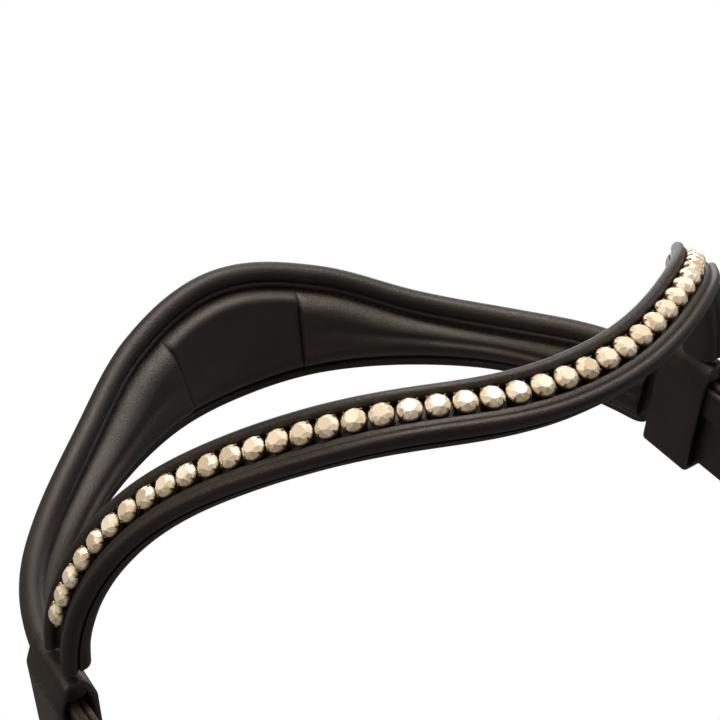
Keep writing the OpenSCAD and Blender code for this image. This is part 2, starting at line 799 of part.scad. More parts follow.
headpiece_strap();
crown_padding_centre();
crown_padding(1);  // crown_padding_left
crown_padding(-1);  // crown_padding_right
crown_front_roll();
crown_rear_roll();
browband_strap();
browband_lining();
browband_upper_roll();
browband_lower_roll();
crystal_channel();
crystals();
browband_loop(1);  // browband_loop_left
browband_loop(-1);  // browband_loop_right
cheekpiece(1);  // cheekpiece_left
cheekpiece(-1);  // cheekpiece_right
cheek_buckle(1);  // cheek_buckle_left
cheek_buckle(-1);  // cheek_buckle_right
cheek_tongue(1);  // cheek_tongue_left
cheek_tongue(-1);  // cheek_tongue_right
cheek_keeper(1);  // cheek_keeper_left
cheek_keeper(-1);  // cheek_keeper_right
cheek_runner(1);  // cheek_runner_left
cheek_runner(-1);  // cheek_runner_right
bit_runner(1);  // bit_runner_left
bit_runner(-1);  // bit_runner_right
hook_stud(1);  // hook_stud_left
hook_stud(-1);  // hook_stud_right
noseband_billet(1);  // noseband_billet_left
noseband_billet(-1);  // noseband_billet_right
noseband_hanger(1);  // noseband_hanger_left
noseband_hanger(-1);  // noseband_hanger_right
noseband_buckle(1);  // noseband_buckle_left
noseband_buckle(-1);  // noseband_buckle_right
noseband_tongue(1);  // noseband_tongue_left
noseband_tongue(-1);  // noseband_tongue_right
noseband_runner(1);  // noseband_runner_left
noseband_runner(-1);  // noseband_runner_right
noseband_strap();
noseband_padding();
chin_billet();
chin_strap();
chin_buckle();
chin_tongue();
chin_keeper();
chin_runner();
throatlash_strap();
throat_buckle(1);  // throat_buckle_left
throat_buckle(-1);  // throat_buckle_right
throat_tongue(1);  // throat_tongue_left
throat_tongue(-1);  // throat_tongue_right
throat_keeper(1);  // throat_keeper_left
throat_keeper(-1);  // throat_keeper_right
throat_runner(1);  // throat_runner_left
throat_runner(-1);  // throat_runner_right
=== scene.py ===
"""Snaffle bridle headstall: what shows of it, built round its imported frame. Metres, +Z up, the horse faces
-Y."""

import math

import bmesh
import bpy
import numpy as np
from mathutils import Matrix


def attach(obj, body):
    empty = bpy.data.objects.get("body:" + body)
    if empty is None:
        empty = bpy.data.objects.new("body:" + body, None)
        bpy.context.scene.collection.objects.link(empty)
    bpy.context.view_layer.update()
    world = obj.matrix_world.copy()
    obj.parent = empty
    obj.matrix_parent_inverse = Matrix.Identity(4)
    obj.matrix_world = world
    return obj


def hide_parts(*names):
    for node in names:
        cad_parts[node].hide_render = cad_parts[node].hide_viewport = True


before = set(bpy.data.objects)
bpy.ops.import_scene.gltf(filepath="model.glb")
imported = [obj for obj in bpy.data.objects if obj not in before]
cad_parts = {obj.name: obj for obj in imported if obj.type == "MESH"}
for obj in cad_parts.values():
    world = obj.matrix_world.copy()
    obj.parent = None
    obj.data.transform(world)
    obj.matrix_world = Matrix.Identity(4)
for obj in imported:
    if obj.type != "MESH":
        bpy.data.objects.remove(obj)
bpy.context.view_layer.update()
MM = 0.001

# ---- Studio ----
# A pale floor well below the hanging bridle, a white backdrop all round that only the camera sees, and soft
# boxes in front of and above the bridle. The camera looks up through the browband at the inside of the
# headpiece.
CAMERA_AT = (-0.1983, -0.3419, -0.3681)
CAMERA_YAW, CAMERA_PITCH, CAMERA_ROLL = (math.radians(a) for a in (34.7, 38.54, -46.15))
CAMERA_LENS = 66.72
FLOOR_Z, FLOOR_HALF = -0.75, 8.0
DOME_RADIUS = 6.0


def hex_linear(code):
    """Linear RGBA of an sRGB hex colour."""
    s = np.array([int(code[i : i + 2], 16) for i in (0, 2, 4)]) / 255
    return (*np.where(s <= 0.04045, s / 12.92, ((s + 0.055) / 1.055) ** 2.4), 1.0)


def feed(tree, node, inputs):
    """Gives a node's inputs values, or links them to other nodes' outputs."""
    for key, value in inputs.items():
        if isinstance(value, bpy.types.NodeSocket):
            tree.links.new(value, node.inputs[key])
        else:
            node.inputs[key].default_value = value


def add(tree, kind, inputs=(), **settings):
    """Adds a node, sets its properties and feeds its inputs."""
    made = tree.nodes.new("ShaderNode" + kind)
    for key, value in settings.items():
        setattr(made, key, value)
    feed(tree, made, dict(inputs))
    return made


def noise(tree, size, detail):
    """Soft noise whose patches have the given size, in the object's own space."""
    spot = add(tree, "TexCoord").outputs["Object"]
    return add(tree, "TexNoise", {"Vector": spot, "Scale": 1 / size, "Detail": detail}).outputs["Fac"]


def two_tone(tree, share, dark, light):
    """Colour between two, each a hex code or another node's output."""
    ends = [hex_linear(end) if isinstance(end, str) else end for end in (dark, light)]
    mixed = add(tree, "Mix", {"Factor": share, "A": ends[0], "B": ends[1]}, data_type="RGBA")
    return mixed.outputs["Result"]


def ranged(tree, value, low, high):
    """A value from 0 to 1 spread from low to high."""
    return add(tree, "MapRange", {"Value": value, "To Min": low, "To Max": high}).outputs["Result"]


def bumped(tree, height, strength, distance):
    """A normal bent by a height."""
    inputs = {"Height": height, "Strength": strength, "Distance": distance}
    return add(tree, "Bump", inputs).outputs["Normal"]


def new_material(name):
    """An empty material and its node tree with a Principled shader linked to the output."""
    made = bpy.data.materials.new(name)
    made.use_nodes = True
    made.node_tree.nodes.clear()
    shader = add(made.node_tree, "BsdfPrincipled")
    add(made.node_tree, "OutputMaterial", {"Surface": shader.outputs["BSDF"]})
    return made, made.node_tree, shader


def plain_object(name, points, faces, material):
    """A stage object from points and faces."""
    mesh = bpy.data.meshes.new(name)
    mesh.from_pydata(points, [], faces)
    made = bpy.data.objects.new(name, mesh)
    mesh.materials.append(material)
    bpy.context.scene.collection.objects.link(made)
    return made


paper, tree, shader = new_material("pale_paper_floor")
speck = add(tree, "TexNoise", {"Scale": 30.0, "Detail": 3.0})
tone = two_tone(tree, speck.outputs["Fac"], "e9e7e4", "f1f0ee")
feed(tree, shader, {"Base Color": tone, "Roughness": 0.9, "Emission Color": tone, "Emission Strength": 0.6})
corners = [(x * FLOOR_HALF, y * FLOOR_HALF, FLOOR_Z) for x, y in ((-1, -1), (1, -1), (1, 1), (-1, 1))]
floor = plain_object("floor", corners, [(0, 1, 2, 3)], paper)
floor.visible_diffuse = False
floor.visible_glossy = False

white, tree, shader = new_material("white_backdrop")
feed(tree, shader, {"Base Color": (0, 0, 0, 1), "Roughness": 1.0, "Specular IOR Level": 0.0,
                    "Emission Color": (1, 1, 1, 1), "Emission Strength": 1.0})
turns = np.radians(np.arange(0, 360, 15))
rises = np.radians(np.arange(-90, 91, 15))
a, e = np.meshgrid(turns, rises, indexing="ij")
dome_points = DOME_RADIUS * np.stack([np.cos(a) * np.cos(e), np.sin(a) * np.cos(e), np.sin(e)],
                                     -1).reshape(-1, 3)
i, j = np.meshgrid(np.arange(len(turns)), np.arange(len(rises) - 1), indexing="ij")
k = (i + 1) % len(turns)
dome_faces = np.stack([i * len(rises) + j, k * len(rises) + j, k * len(rises) + j + 1,
                       i * len(rises) + j + 1], -1)
backdrop = plain_object("backdrop", dome_points.tolist(), dome_faces.reshape(-1, 4).tolist(), white)
backdrop.visible_diffuse = False
backdrop.visible_glossy = False
backdrop.visible_transmission = False
backdrop.visible_shadow = False

world = bpy.data.worlds.new("studio")
world.use_nodes = True
bpy.context.scene.world = world
world.node_tree.nodes["Background"].inputs["Color"].default_value = (1.0, 0.93, 0.85, 1)
world.node_tree.nodes["Background"].inputs["Strength"].default_value = 0.17
bpy.context.scene.view_settings.view_transform = "Standard"

forward = np.array([math.sin(CAMERA_YAW) * math.cos(CAMERA_PITCH),
                    math.cos(CAMERA_YAW) * math.cos(CAMERA_PITCH),
                    math.sin(CAMERA_PITCH)])
level = np.array([math.cos(CAMERA_YAW), -math.sin(CAMERA_YAW), 0])
upright = np.cross(level, forward)
view_right = level * math.cos(CAMERA_ROLL) + upright * math.sin(CAMERA_ROLL)
view_up = upright * math.cos(CAMERA_ROLL) - level * math.sin(CAMERA_ROLL)


def turned_to(right, up, back, place):
    """Matrix of an object whose own axes are right, up and back, at a place."""
    made = np.eye(4)
    made[:3, 0], made[:3, 1], made[:3, 2], made[:3, 3] = right, up, back, place
    return Matrix(made.tolist())


camera = bpy.data.objects.new("camera", bpy.data.cameras.new("camera"))
camera.data.lens = CAMERA_LENS
camera.data.sensor_width = 36.0
camera.data.clip_start = 0.01
bpy.context.scene.collection.objects.link(camera)
camera.matrix_world = turned_to(view_right, view_up, -forward, CAMERA_AT)
bpy.context.scene.camera = camera

# Each soft box: its direction from the bridle as shares of the picture's right, its up and toward the
# camera, then distance, width, height, power and colour
SOFT_BOXES = {
    "key_box": ((0.05, 1.0, 0.32), 1.3, 0.9, 0.45, 20, "fff4e8"),
    "fill_box": ((-0.7, 0.4, 0.8), 1.6, 1.0, 1.0, 9, "ffeedd"),
    "side_box": ((1.0, 0.45, 0.35), 1.5, 0.5, 1.0, 4, "eaf0ff"),
    "back_box": ((0.0, 0.6, -1.0), 1.6, 1.4, 1.4, 12, "ffffff"),
}
LIT_CENTRE = np.array([0.0, -0.03, -0.12])
for name, (aim, distance, wide, high, power, colour) in SOFT_BOXES.items():
    toward = aim[0] * view_right + aim[1] * view_up - aim[2] * forward
    toward = toward / np.linalg.norm(toward)
    across = np.cross(view_up if abs(toward @ view_up) < 0.9 else forward, toward)
    across = across / np.linalg.norm(across)
    lamp = bpy.data.lights.new(name, "AREA")
    lamp.shape = "RECTANGLE"
    lamp.size, lamp.size_y, lamp.energy = wide, high, power
    lamp.color = hex_linear(colour)[:3]
    box = bpy.data.objects.new(name, lamp)
    bpy.context.scene.collection.objects.link(box)
    box.matrix_world = turned_to(across, np.cross(toward, across), toward, LIT_CENTRE + toward * distance)
    box.visible_camera = False

# ---- Headpiece strap ----
# One layer of vegetable-tanned bridle leather 3.5 mm thick, cut in a wave that is wide on the poll and
# narrow behind the ears. Below the browband loops each side is a plain branch, slit into a cheek billet and
# a throatlash billet.
CROWN_LENGTH = 400 * MM
CROWN_T = 3.5 * MM
CROWN_TURN = [0, 22, 37, 51, 71, 90]
CROWN_TILT = [19, 22, 21, 15, 8, 0]
CROWN_FRONT = [30, 22, 11, 9, 13.5, 18.5]
CROWN_REAR = [23, 20.5, 19, 18.5, 20.5, 21]
ROLL_W, REAR_W = 7 * MM, 3 * MM
PANEL_LAST = 0.9
WIDE_FROM = 0.95
SPLIT_Z = -156 * MM
BEND = 25 * MM
LEAN = math.radians(8)
SIDES = ((1, "_left"), (-1, "_right"))


def along(knots, u, level=False):
    """Smooth value at u, from 0 to 1, through evenly spaced knots: a cubic whose slope at each knot is half
    the step between its two neighbours, and at the start nothing where level is set."""
    v = np.asarray(knots, float)
    n = len(v) - 1
    i = np.minimum((u * n).astype(int), n - 1)
    f = u * n - i
    a, b = v[i], v[i + 1]
    slope_a = np.where(i == 0, 0.0 if level else b - a, (b - v[np.maximum(i - 1, 0)]) / 2)
    slope_b = np.where(i == n - 1, b - a, (v[np.minimum(i + 2, n)] - a) / 2)
    return ((2 * f**3 - 3 * f**2 + 1) * a + (f**3 - 2 * f**2 + f) * slope_a
            + (3 * f**2 - 2 * f**3) * b + (f**3 - f**2) * slope_b)


def walked(heading, length, steps=400):
    """Points of a curve: the running sum of small steps, each along the heading at its middle."""
    u = (np.arange(steps) + 0.5) / steps
    return np.vstack([np.zeros(3), np.cumsum(heading(u) * length / steps, axis=0)])


def at(path, u):
    """Points of a path at u, from 0 to 1, on straight lines between its own points."""
    t = u * (len(path) - 1)
    return np.stack([np.interp(t, np.arange(len(path)), path[:, c]) for c in range(3)], -1)


def unit(v):
    return v / np.linalg.norm(v, axis=-1, keepdims=True)


def crown_heading(u):
    """The arch runs outward, cos(turn), and down, -sin(turn)."""
    turn = np.radians(along(CROWN_TURN, u))
    return np.stack([np.cos(turn), 0 * turn, -np.sin(turn)], -1)


CROWN_PATH = walked(crown_heading, CROWN_LENGTH / 2)
BRANCH = CROWN_PATH[-1]


def crown_frame(u):
    """Front edge, backward direction, outward direction and width at u, from -1 to 1 along the arch. The
    strap is turned about the arch by its tilt, and its width is its reach forward and backward over
    cos(tilt)."""
    v, side = np.abs(u), np.where(u < 0, -1.0, 1.0)[:, None]
    turn, tilt = np.radians(along(CROWN_TURN, v)), np.radians(along(CROWN_TILT, v, True))
    radial = np.stack([np.sin(turn), 0 * turn, np.cos(turn)], -1)
    rearward = np.array([0.0, 1.0, 0.0])
    c, s = np.cos(tilt)[:, None], np.sin(tilt)[:, None]
    back, out = c * rearward - s * radial, c * radial + s * rearward
    reach = along(CROWN_FRONT, v, True) * MM / np.cos(tilt)
    width = reach + along(CROWN_REAR, v, True) * MM / np.cos(tilt)
    flip = np.concatenate([side, 0 * side + 1, 0 * side + 1], 1)
    return (at(CROWN_PATH, v) - reach[:, None] * back) * flip, back * flip, out * flip, width


def carried(place, across_dir, out_dir, across, out):
    """Rings in space: each ring's point is its place plus across and out along the two directions there."""
    return place[:, None] + across[..., None] * across_dir[:, None] + out[..., None] * out_dir[:, None]


def skin(points, edge=0.0, loop=False):
    """A closed skin through rings points[i, j]: quads between neighbouring rings, with flat ends, or for a
    loop the last ring joined to the first. edge marks how worn or burnished each point is."""
    n, m = points.shape[:2]
    i, j = np.meshgrid(np.arange(n if loop else n - 1), np.arange(m), indexing="ij")
    a, b, k = i * m, (i + 1) % n * m, (j + 1) % m
    faces = [np.stack([a + j, a + k, b + k, b + j], -1).reshape(-1, 4)]
    if not loop:
        faces += [np.arange(m)[None], np.arange((n - 1) * m, n * m)[None]]
    return points.reshape(-1, 3), faces, np.broadcast_to(edge, (n, m)).reshape(-1)


def piece(name, skins, material, body, nodes=(), sharp=42):
    """One object from skins, with its faces turned outward, smooth but for edges sharper than the given
    angle."""
    points, faces, edge, start = [], [], [], 0
    for p, f, e in skins:
        points.append(p)
        faces += [row for block in f for row in (block + start).tolist()]
        edge.append(e)
        start += len(p)
    mesh = bpy.data.meshes.new(name)
    mesh.from_pydata(np.concatenate(points), [], faces)
    mesh.attributes.new("edge", "FLOAT", "POINT").data.foreach_set("value",
                                                                   np.concatenate(edge).astype(np.float32))
    shell = bmesh.new()
    shell.from_mesh(mesh)
    bmesh.ops.recalc_face_normals(shell, faces=shell.faces)
    shell.to_mesh(mesh)
    shell.free()
    mesh.shade_smooth()
    mesh.set_sharp_from_angle(angle=math.radians(sharp))
    mesh.materials.append(material)
    made = bpy.data.objects.new(name, mesh)
    bpy.context.scene.collection.objects.link(made)
    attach(made, body)
    if nodes:
        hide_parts(*nodes)
    return made


def quarter(start, stop, count=4):
    return np.radians(np.linspace(start, stop, count))


def strip_ring(t, r, crease=2.0 * MM, depth=0.22 * MM):
    """Section of a flat strap as three rows: share of the width, offset from that share, and height. The
    underside is flat, the edges are rounded with radius r, and a thin line is pressed into the top at
    `crease` from each edge."""
    low, high = quarter(-90, 0), quarter(0, 90)
    dip = np.array([0.45, 0, -0.45]) * MM
    top_s = np.array([1, 1, 1, 0.75, 0.5, 0.25, 0, 0, 0])
    top_e = np.concatenate([-crease + dip, [0, 0, 0], crease + dip])
    top_o = t - depth * np.array([0, 1, 0, 0, 0, 0, 0, 1, 0])
    share = np.concatenate([[0.25, 0.5, 0.75], np.ones(8), top_s, np.zeros(8)])
    offset = np.concatenate([[0, 0, 0], -r + r * np.cos(low), -r + r * np.cos(high), top_e,
                             r - r * np.cos(high[::-1]), r - r * np.cos(low[::-1])])
    height = np.concatenate([[0, 0, 0], r + r * np.sin(low), t - r + r * np.sin(high), top_o,
                             t - r + r * np.sin(high[::-1]), r + r * np.sin(low[::-1])])
    return share, offset, height


def edge_of(share, offset):
    """1 on the rounded edges of a strap, falling to 0 a millimetre in."""
    inside = np.where(share == 1, -offset, np.where(share == 0, offset, 1))
    return np.clip(1 - inside / MM, 0, 1)


def leather(name, dark, light, worn, rough, grain, relief, sheen=0.0, coat=0.0):
    """Drum-dyed leather with a waxed face: two close browns drift over it in patches of a few centimetres,
    round grain cells of the given size stand in low relief with finer pores between them, and edges rub to
    `worn`."""
    made, tree, shader = new_material(name)
    drift = add(tree, "MapRange", {"Value": noise(tree, 28 * MM, 4.0), "From Min": 0.35, "From Max": 0.65})
    dye = two_tone(tree, drift.outputs["Result"], dark, light)
    rubbed = add(tree, "Attribute", attribute_name="edge")
    spot = add(tree, "TexCoord").outputs["Object"]
    cells = add(tree, "TexVoronoi", {"Vector": spot, "Scale": 1 / grain}, feature="SMOOTH_F1")
    pores = noise(tree, grain / 2.2, 3.0)
    lift = add(tree, "Math", {0: cells.outputs["Distance"], 1: pores}, operation="ADD")
    feed(tree, shader, {"Base Color": two_tone(tree, rubbed.outputs["Fac"], dye, worn),
                        "Roughness": ranged(tree, noise(tree, 6 * MM, 5.0), rough - 0.07, rough + 0.07),
                        "Normal": bumped(tree, lift.outputs["Value"], 0.5, relief), "IOR": 1.5,
                        "Sheen Weight": sheen, "Sheen Roughness": 0.4, "Coat Weight": coat,
                        "Coat Roughness": 0.3})
    return made


bridle_leather = leather("waxed_bridle_leather", "1e1814", "2a221c", "3b3028", 0.45, 0.9 * MM, 0.13 * MM,
                         coat=0.05)
soft_leather = leather("soft_nappa_leather", "1e1814", "29211b", "3a2f28", 0.5, 0.7 * MM, 0.2 * MM,
                       sheen=0.04)


def bridle_piece(name, skins, node, body="headstall"):
    """A piece of bridle leather that shows in place of one node."""
    return piece(name, skins, bridle_leather, body, [node])


def soft(name, skins, node, body="headstall"):
    """A piece of soft leather that shows in place of one node."""
    return piece(name, skins, soft_leather, body, [node])


def hanging(points, side, y):
    """From the leaning straps' own directions to space: turned by the lean about the end of the bend, moved
    to y, and mirrored for the right-hand side."""
    x, across, up = points[..., 0], points[..., 1] + y, points[..., 2]
    turned = [side * (HANG_X + x * math.cos(LEAN) + up * math.sin(LEAN)), across,
              HANG_Z - x * math.sin(LEAN) + up * math.cos(LEAN)]
    return np.stack(turned, -1)


HANG_X = BRANCH[0] + CROWN_T / 2 - BEND * math.sin(LEAN / 2)
HANG_Z = SPLIT_Z - BEND * math.cos(LEAN / 2)


def resampled(line, step):
    """The same bent line with points every `step`, its corners eased by one pass of averaging
    neighbours."""
    line = np.asarray(line, float)
    run = np.concatenate([[0], np.cumsum(np.linalg.norm(np.diff(line, axis=0), axis=1))])
    t = np.linspace(0, run[-1], max(3, int(run[-1] / step) + 1))
    made = np.stack([np.interp(t, run, line[:, c]) for c in range(line.shape[1])], -1)
    made[1:-1] = (made[:-2] + 2 * made[1:-1] + made[2:]) / 4
    return made


def flat_strap(line, thick, wide, step=1.2 * MM, tip=0.0, start_tip=0.0, loop=False, crease=2.0 * MM):
    """A strap of even thickness along the middle line [outward, up], as its skin in the strap's own
    directions. Its end is cut to a half ellipse `tip` long: the width there is the root of one less the
    square of the way out."""
    line = resampled(line, step)
    if loop:
        line = line[:-1]
        tangent = np.roll(line, -1, 0) - np.roll(line, 1, 0)
    else:
        tangent = np.gradient(line, axis=0)
    tangent = unit(tangent)
    n = len(line)
    place = np.stack([line[:, 0], np.zeros(n), line[:, 1]], -1)
    out = np.stack([-tangent[:, 1], np.zeros(n), tangent[:, 0]], -1)
    side = np.tile([0.0, 1.0, 0.0], (n, 1))
    run = np.concatenate([[0], np.cumsum(np.linalg.norm(np.diff(line, axis=0), axis=1))])
    wide_here = np.full(n, wide)
    for length, gone in ((tip, run[-1] - run), (start_tip, run)):
        if length:
            wide_here = wide_here * np.sqrt(np.clip(1 - np.clip(1 - gone / length, 0, 1) ** 2, 0.06, 1))
    share, offset, height = strip_ring(thick, min(0.42 * thick, 1.1 * MM), crease)
    shrink = (wide_here / wide)[:, None]
    across = share * wide_here[:, None] + offset * shrink - wide_here[:, None] / 2
    points = carried(place, side, out, across, height - thick / 2)
    return skin(points, edge_of(share, offset), loop)


def moved(made, place):
    """A skin with its points put through a placing function."""
    return (place(made[0]), *made[1:])


def bead_rows(points, normal, pitch, long, thick):
    """A row of stitches along a line: beads `long` by `thick` every `pitch`, sunk half into the surface.
    Each is an ellipsoid of rings cos(a) wide at sin(a) along the line."""
    run = np.concatenate([[0], np.cumsum(np.linalg.norm(np.diff(points, axis=0), axis=1))])
    s = np.arange(pitch / 2, run[-1], pitch)
    place = np.stack([np.interp(s, run, points[:, c]) for c in range(3)], -1)
    out = unit(np.stack([np.interp(s, run, normal[:, c]) for c in range(3)], -1))
    way = unit(np.stack([np.interp(s, run, np.gradient(points, axis=0)[:, c]) for c in range(3)], -1))
    side = np.cross(out, way)
    a, b = np.meshgrid(np.radians([-80, -35, 0, 35, 80]), np.radians(np.arange(0, 360, 60)), indexing="ij")
    x, y, z = np.sin(a) * long / 2, np.cos(a) * np.cos(b) * thick / 2, np.cos(a) * np.sin(b) * thick / 2
    beads = (place[:, None, None] + x[..., None] * way[:, None, None] + y[..., None] * side[:, None, None]
             + z[..., None] * out[:, None, None])
    ring = skin(np.zeros((5, 6, 3)))[1]
    starts = 30 * np.arange(len(s))[:, None, None]
    faces = [(block[None] + starts).reshape(-1, block.shape[-1]) for block in ring]
    return beads.reshape(-1, 3), faces, np.zeros(30 * len(s))


def thread(name, colour):
    """Waxed linen thread: a dull dark twist whose strands show as a fine slanting ripple."""
    made, tree, shader = new_material(name)
    spot = add(tree, "TexCoord").outputs["Object"]
    ply = add(tree, "TexWave", {"Vector": spot, "Scale": 1 / (1.5 * MM), "Distortion": 1.0},
              bands_direction="DIAGONAL").outputs["Fac"]
    feed(tree, shader, {"Base Color": two_tone(tree, ply, colour, "463c34"), "Roughness": 0.7,
                        "Normal": bumped(tree, ply, 0.5, 0.1 * MM)})
    return made


linen_thread = thread("waxed_linen_thread", "2a241f")


def roll_room(u):
    """How much of the rolls' room the strap leaves at u: all of it up to the rolls' ends, then none."""
    return np.clip((WIDE_FROM - np.abs(u)) / (WIDE_FROM - PANEL_LAST), 0, 1)


u = np.linspace(-1, 1, 321)
front, back, out, width = crown_frame(u)
near, far = ROLL_W * roll_room(u), width - REAR_W * roll_room(u)
share, offset, height = strip_ring(CROWN_T, 1.2 * MM, 3.0 * MM)
across = near[:, None] + share * (far - near)[:, None] + offset
arch = carried(front, back, out, across, height)
foot = np.repeat(arch[-1:], 11, axis=0)
foot[..., 2] += np.linspace(0, 1, 12)[1:, None] * (SPLIT_Z - arch[-1, :, 2])
mirrored = foot[::-1] * [-1, 1, 1]
strap_skins = [skin(np.concatenate([mirrored, arch, foot]), edge_of(share, offset))]

EDGE_IN = 0.1 * MM
CHEEK_W, NARROW_W, STRAP_T = 16 * MM, 13 * MM, 3 * MM
BRANCH_FRONT, BRANCH_REAR = -CROWN_FRONT[-1] * MM, CROWN_REAR[-1] * MM
CHEEK_Y = BRANCH_FRONT + CHEEK_W / 2 + EDGE_IN
THROAT_Y = BRANCH_REAR - NARROW_W / 2 - EDGE_IN
BAR_Z = -45 * MM
BILLET_UNDER, BILLET_OVER, BILLET_REST, BILLET_END = -3.4 * MM, 6 * MM, 4.6 * MM, -60 * MM
TONGUE_W, HOLE_R, HOLE_STEP = 3 * MM, 2 * MM, 20 * MM


def in_hang(x, z):
    """A place [outward, up] in the leaning straps' own directions."""
    x, z = x - HANG_X, z - HANG_Z
    return np.stack([x * math.cos(LEAN) - z * math.sin(LEAN), x * math.sin(LEAN) + z * math.cos(LEAN)], -1)


def ease(a, b, f):
    """From a to b on half a cosine wave."""
    return a + (b - a) * (1 - np.cos(math.pi * np.clip(f, 0, 1))) / 2


def billet_line(z0, z1):
    """A billet's middle line from z0 above the buckle bar to z1 below it: under the far side of the frame,
    over the bar, and down onto the strap, each on half a cosine wave."""
    z = np.arange(z0, z1, -1 * MM)
    x = np.where(z > 17 * MM, ease(BILLET_UNDER, 0, (z - 22 * MM) / (16 * MM)),
                 np.where(z > 1 * MM, ease(BILLET_OVER, BILLET_UNDER, (z - 1 * MM) / (16 * MM)),
                          ease(BILLET_REST, BILLET_OVER, (z + 11 * MM) / (10 * MM))))
    return np.stack([x, z], -1)


def rod(start, end, radius, sides=16):
    """Skin of a straight round rod, its radius the same all along."""
    start, end = np.asarray(start, float), np.asarray(end, float)
    way = unit(end - start)
    side = unit(np.cross(way, [0.31, 0.72, 0.62]))
    a = np.linspace(0, 2 * math.pi, sides, endpoint=False)[:, None]
    ring = radius * (np.cos(a) * side + np.sin(a) * np.cross(way, side))
    return skin(np.stack([start + ring, end + ring]))


def punched(made, cutters):
    """The piece with the cutters' shapes cut out of it, its mesh final."""
    tool = piece("cutter", cutters, bridle_leather, "headstall")
    cut = made.modifiers.new("holes", "BOOLEAN")
    cut.operation, cut.solver, cut.object = "DIFFERENCE", "EXACT", tool
    scene_now = bpy.context.evaluated_depsgraph_get()
    mesh = bpy.data.meshes.new_from_object(made.evaluated_get(scene_now))
    made.modifiers.clear()
    old, made.data = made.data, mesh
    mesh.set_sharp_from_angle(angle=math.radians(42))
    mesh.name = made.name
    bpy.data.meshes.remove(old)
    bpy.data.objects.remove(tool)
    return made


def billet_cutters(place, holes=2):
    """Rods for the punched holes and the slot that the tongue stands in, through a billet at its buckle."""
    rods = [moved(rod((-12 * MM, 0, z), (12 * MM, 0, z), HOLE_R), place)
            for z in (-i * HOLE_STEP - 2 * MM for i in range(1, holes + 1))]
    slot_line = [(-12 * MM, 5.5 * MM), (12 * MM, 5.5 * MM)]
    return rods + [moved(flat_strap(slot_line, 14 * MM, TONGUE_W + 1.2 * MM, 4 * MM, crease=0), place)]


def kit_place(side, y, x=0.0, z=BAR_Z):
    """Placing function of a buckle kit: the bar is at the origin along Y and the strap hangs down."""
    return lambda points: hanging(points + np.array([x, 0, z]), side, y)


bend = np.linspace(0, 1, 7)
BRANCH_MID = BRANCH[0] + CROWN_T / 2
bend_line = in_hang(BRANCH_MID - BEND * bend * np.sin(LEAN * bend / 2),
                    SPLIT_Z - BEND * bend * np.cos(LEAN * bend / 2))
top_line = in_hang(np.full(2, BRANCH_MID), np.array([SPLIT_Z + 10 * MM, SPLIT_Z + 1 * MM]))
down_line = np.concatenate([top_line, bend_line]) - [0, BAR_Z]
cutters = []
for side in (-1, 1):
    for y, wide in ((CHEEK_Y, CHEEK_W), (THROAT_Y, NARROW_W)):
        place = kit_place(side, y)
        line = np.concatenate([down_line, billet_line(-BAR_Z - 1 * MM, BILLET_END)])
        strap_skins.append(moved(flat_strap(line, CROWN_T - 2 * EDGE_IN, wide, tip=8 * MM), place))
        cutters += billet_cutters(place)
headpiece = bridle_piece("headpiece_leather", strap_skins, "headpiece_strap")
punched(headpiece, cutters)

rows = np.abs(u) < PANEL_LAST
seam_rows = []
for d in (near + 1.7 * MM, far - 1.7 * MM):
    line = front + d[:, None] * back + (CROWN_T + 0.02 * MM) * out
    seam_rows.append(bead_rows(line[rows], out[rows], 3.4 * MM, 2.6 * MM, 0.55 * MM))
piece("headpiece_stitching", seam_rows, linen_thread, "headstall")

# ---- Headpiece edges ----
# The front edge is soft nappa turned over a round cord, and the rear edge a thinner one, both stitched in
# along the strap. They stop a little above the browband loops, where they thin out.
def edge_roll(mid, height, radius, wave=0.0):
    """A roll along the arch: circles round its cord, a little flatter at its ends, where the radius runs
    out as the root of the way left."""
    u = np.linspace(-PANEL_LAST - 0.012, PANEL_LAST + 0.012, 361)
    front, back, out, width = crown_frame(u)
    left = np.clip((PANEL_LAST + 0.012 - np.abs(u)) / 0.03, 0.02, 1)
    r = radius(np.abs(u)) * np.sqrt(1 - (1 - left) ** 2)
    a = np.linspace(0, 2 * math.pi, 28, endpoint=False)
    across = mid(width)[:, None] + r[:, None] * np.cos(a)
    high = height + r[:, None] * np.sin(a) * 1.03
    return skin(carried(front, back, out, across, high))


FRONT_ROLL_R = [4.0, 4.0, 4.0, 3.9, 3.7, 3.3]
front_roll = edge_roll(lambda w: 0 * w + 4.0 * MM, 0.0, lambda v: along(FRONT_ROLL_R, v, True) * MM)
soft("headpiece_front_roll", [front_roll], "crown_front_roll")
rear_roll = edge_roll(lambda w: w - 1.9 * MM, 1.1 * MM, lambda v: 0 * v + 2.1 * MM)
soft("headpiece_rear_roll", [rear_roll], "crown_rear_roll")

# ---- Headpiece padding ----
# Three foam pads under soft nappa on the horse's side: one over the poll and one down each side, butted at
# cross seams. A narrow welt runs between the front roll and the pads, and the side pads slope up from it to
# their face.
SEAM_AT = 0.15
PAD_GAP, PAD_REAR = 0.3 * MM, 2.2 * MM


def plump(t, power):
    """Rises from 0 to 1 over t from 0 to 1 like a filled edge: one less the square of what is left, to a
    power."""
    return (1 - (1 - np.clip(t, 0, 1)) ** 2) ** power


def ripples(x, y, seed, height):
    """Small unevenness of leather over foam: waves of 7 to 30 mm in all directions, summed."""
    rng = np.random.default_rng(seed)
    made = 0 * x
    for _ in range(9):
        a, wave, start = rng.uniform(0, math.pi), rng.uniform(7, 30) * MM, rng.uniform(0, 2 * math.pi)
        made = made + np.sin(2 * math.pi / wave * (x * math.cos(a) + y * math.sin(a)) + start) * (wave
                                                                                                  / (30 * MM))
    return made * height / 2.2


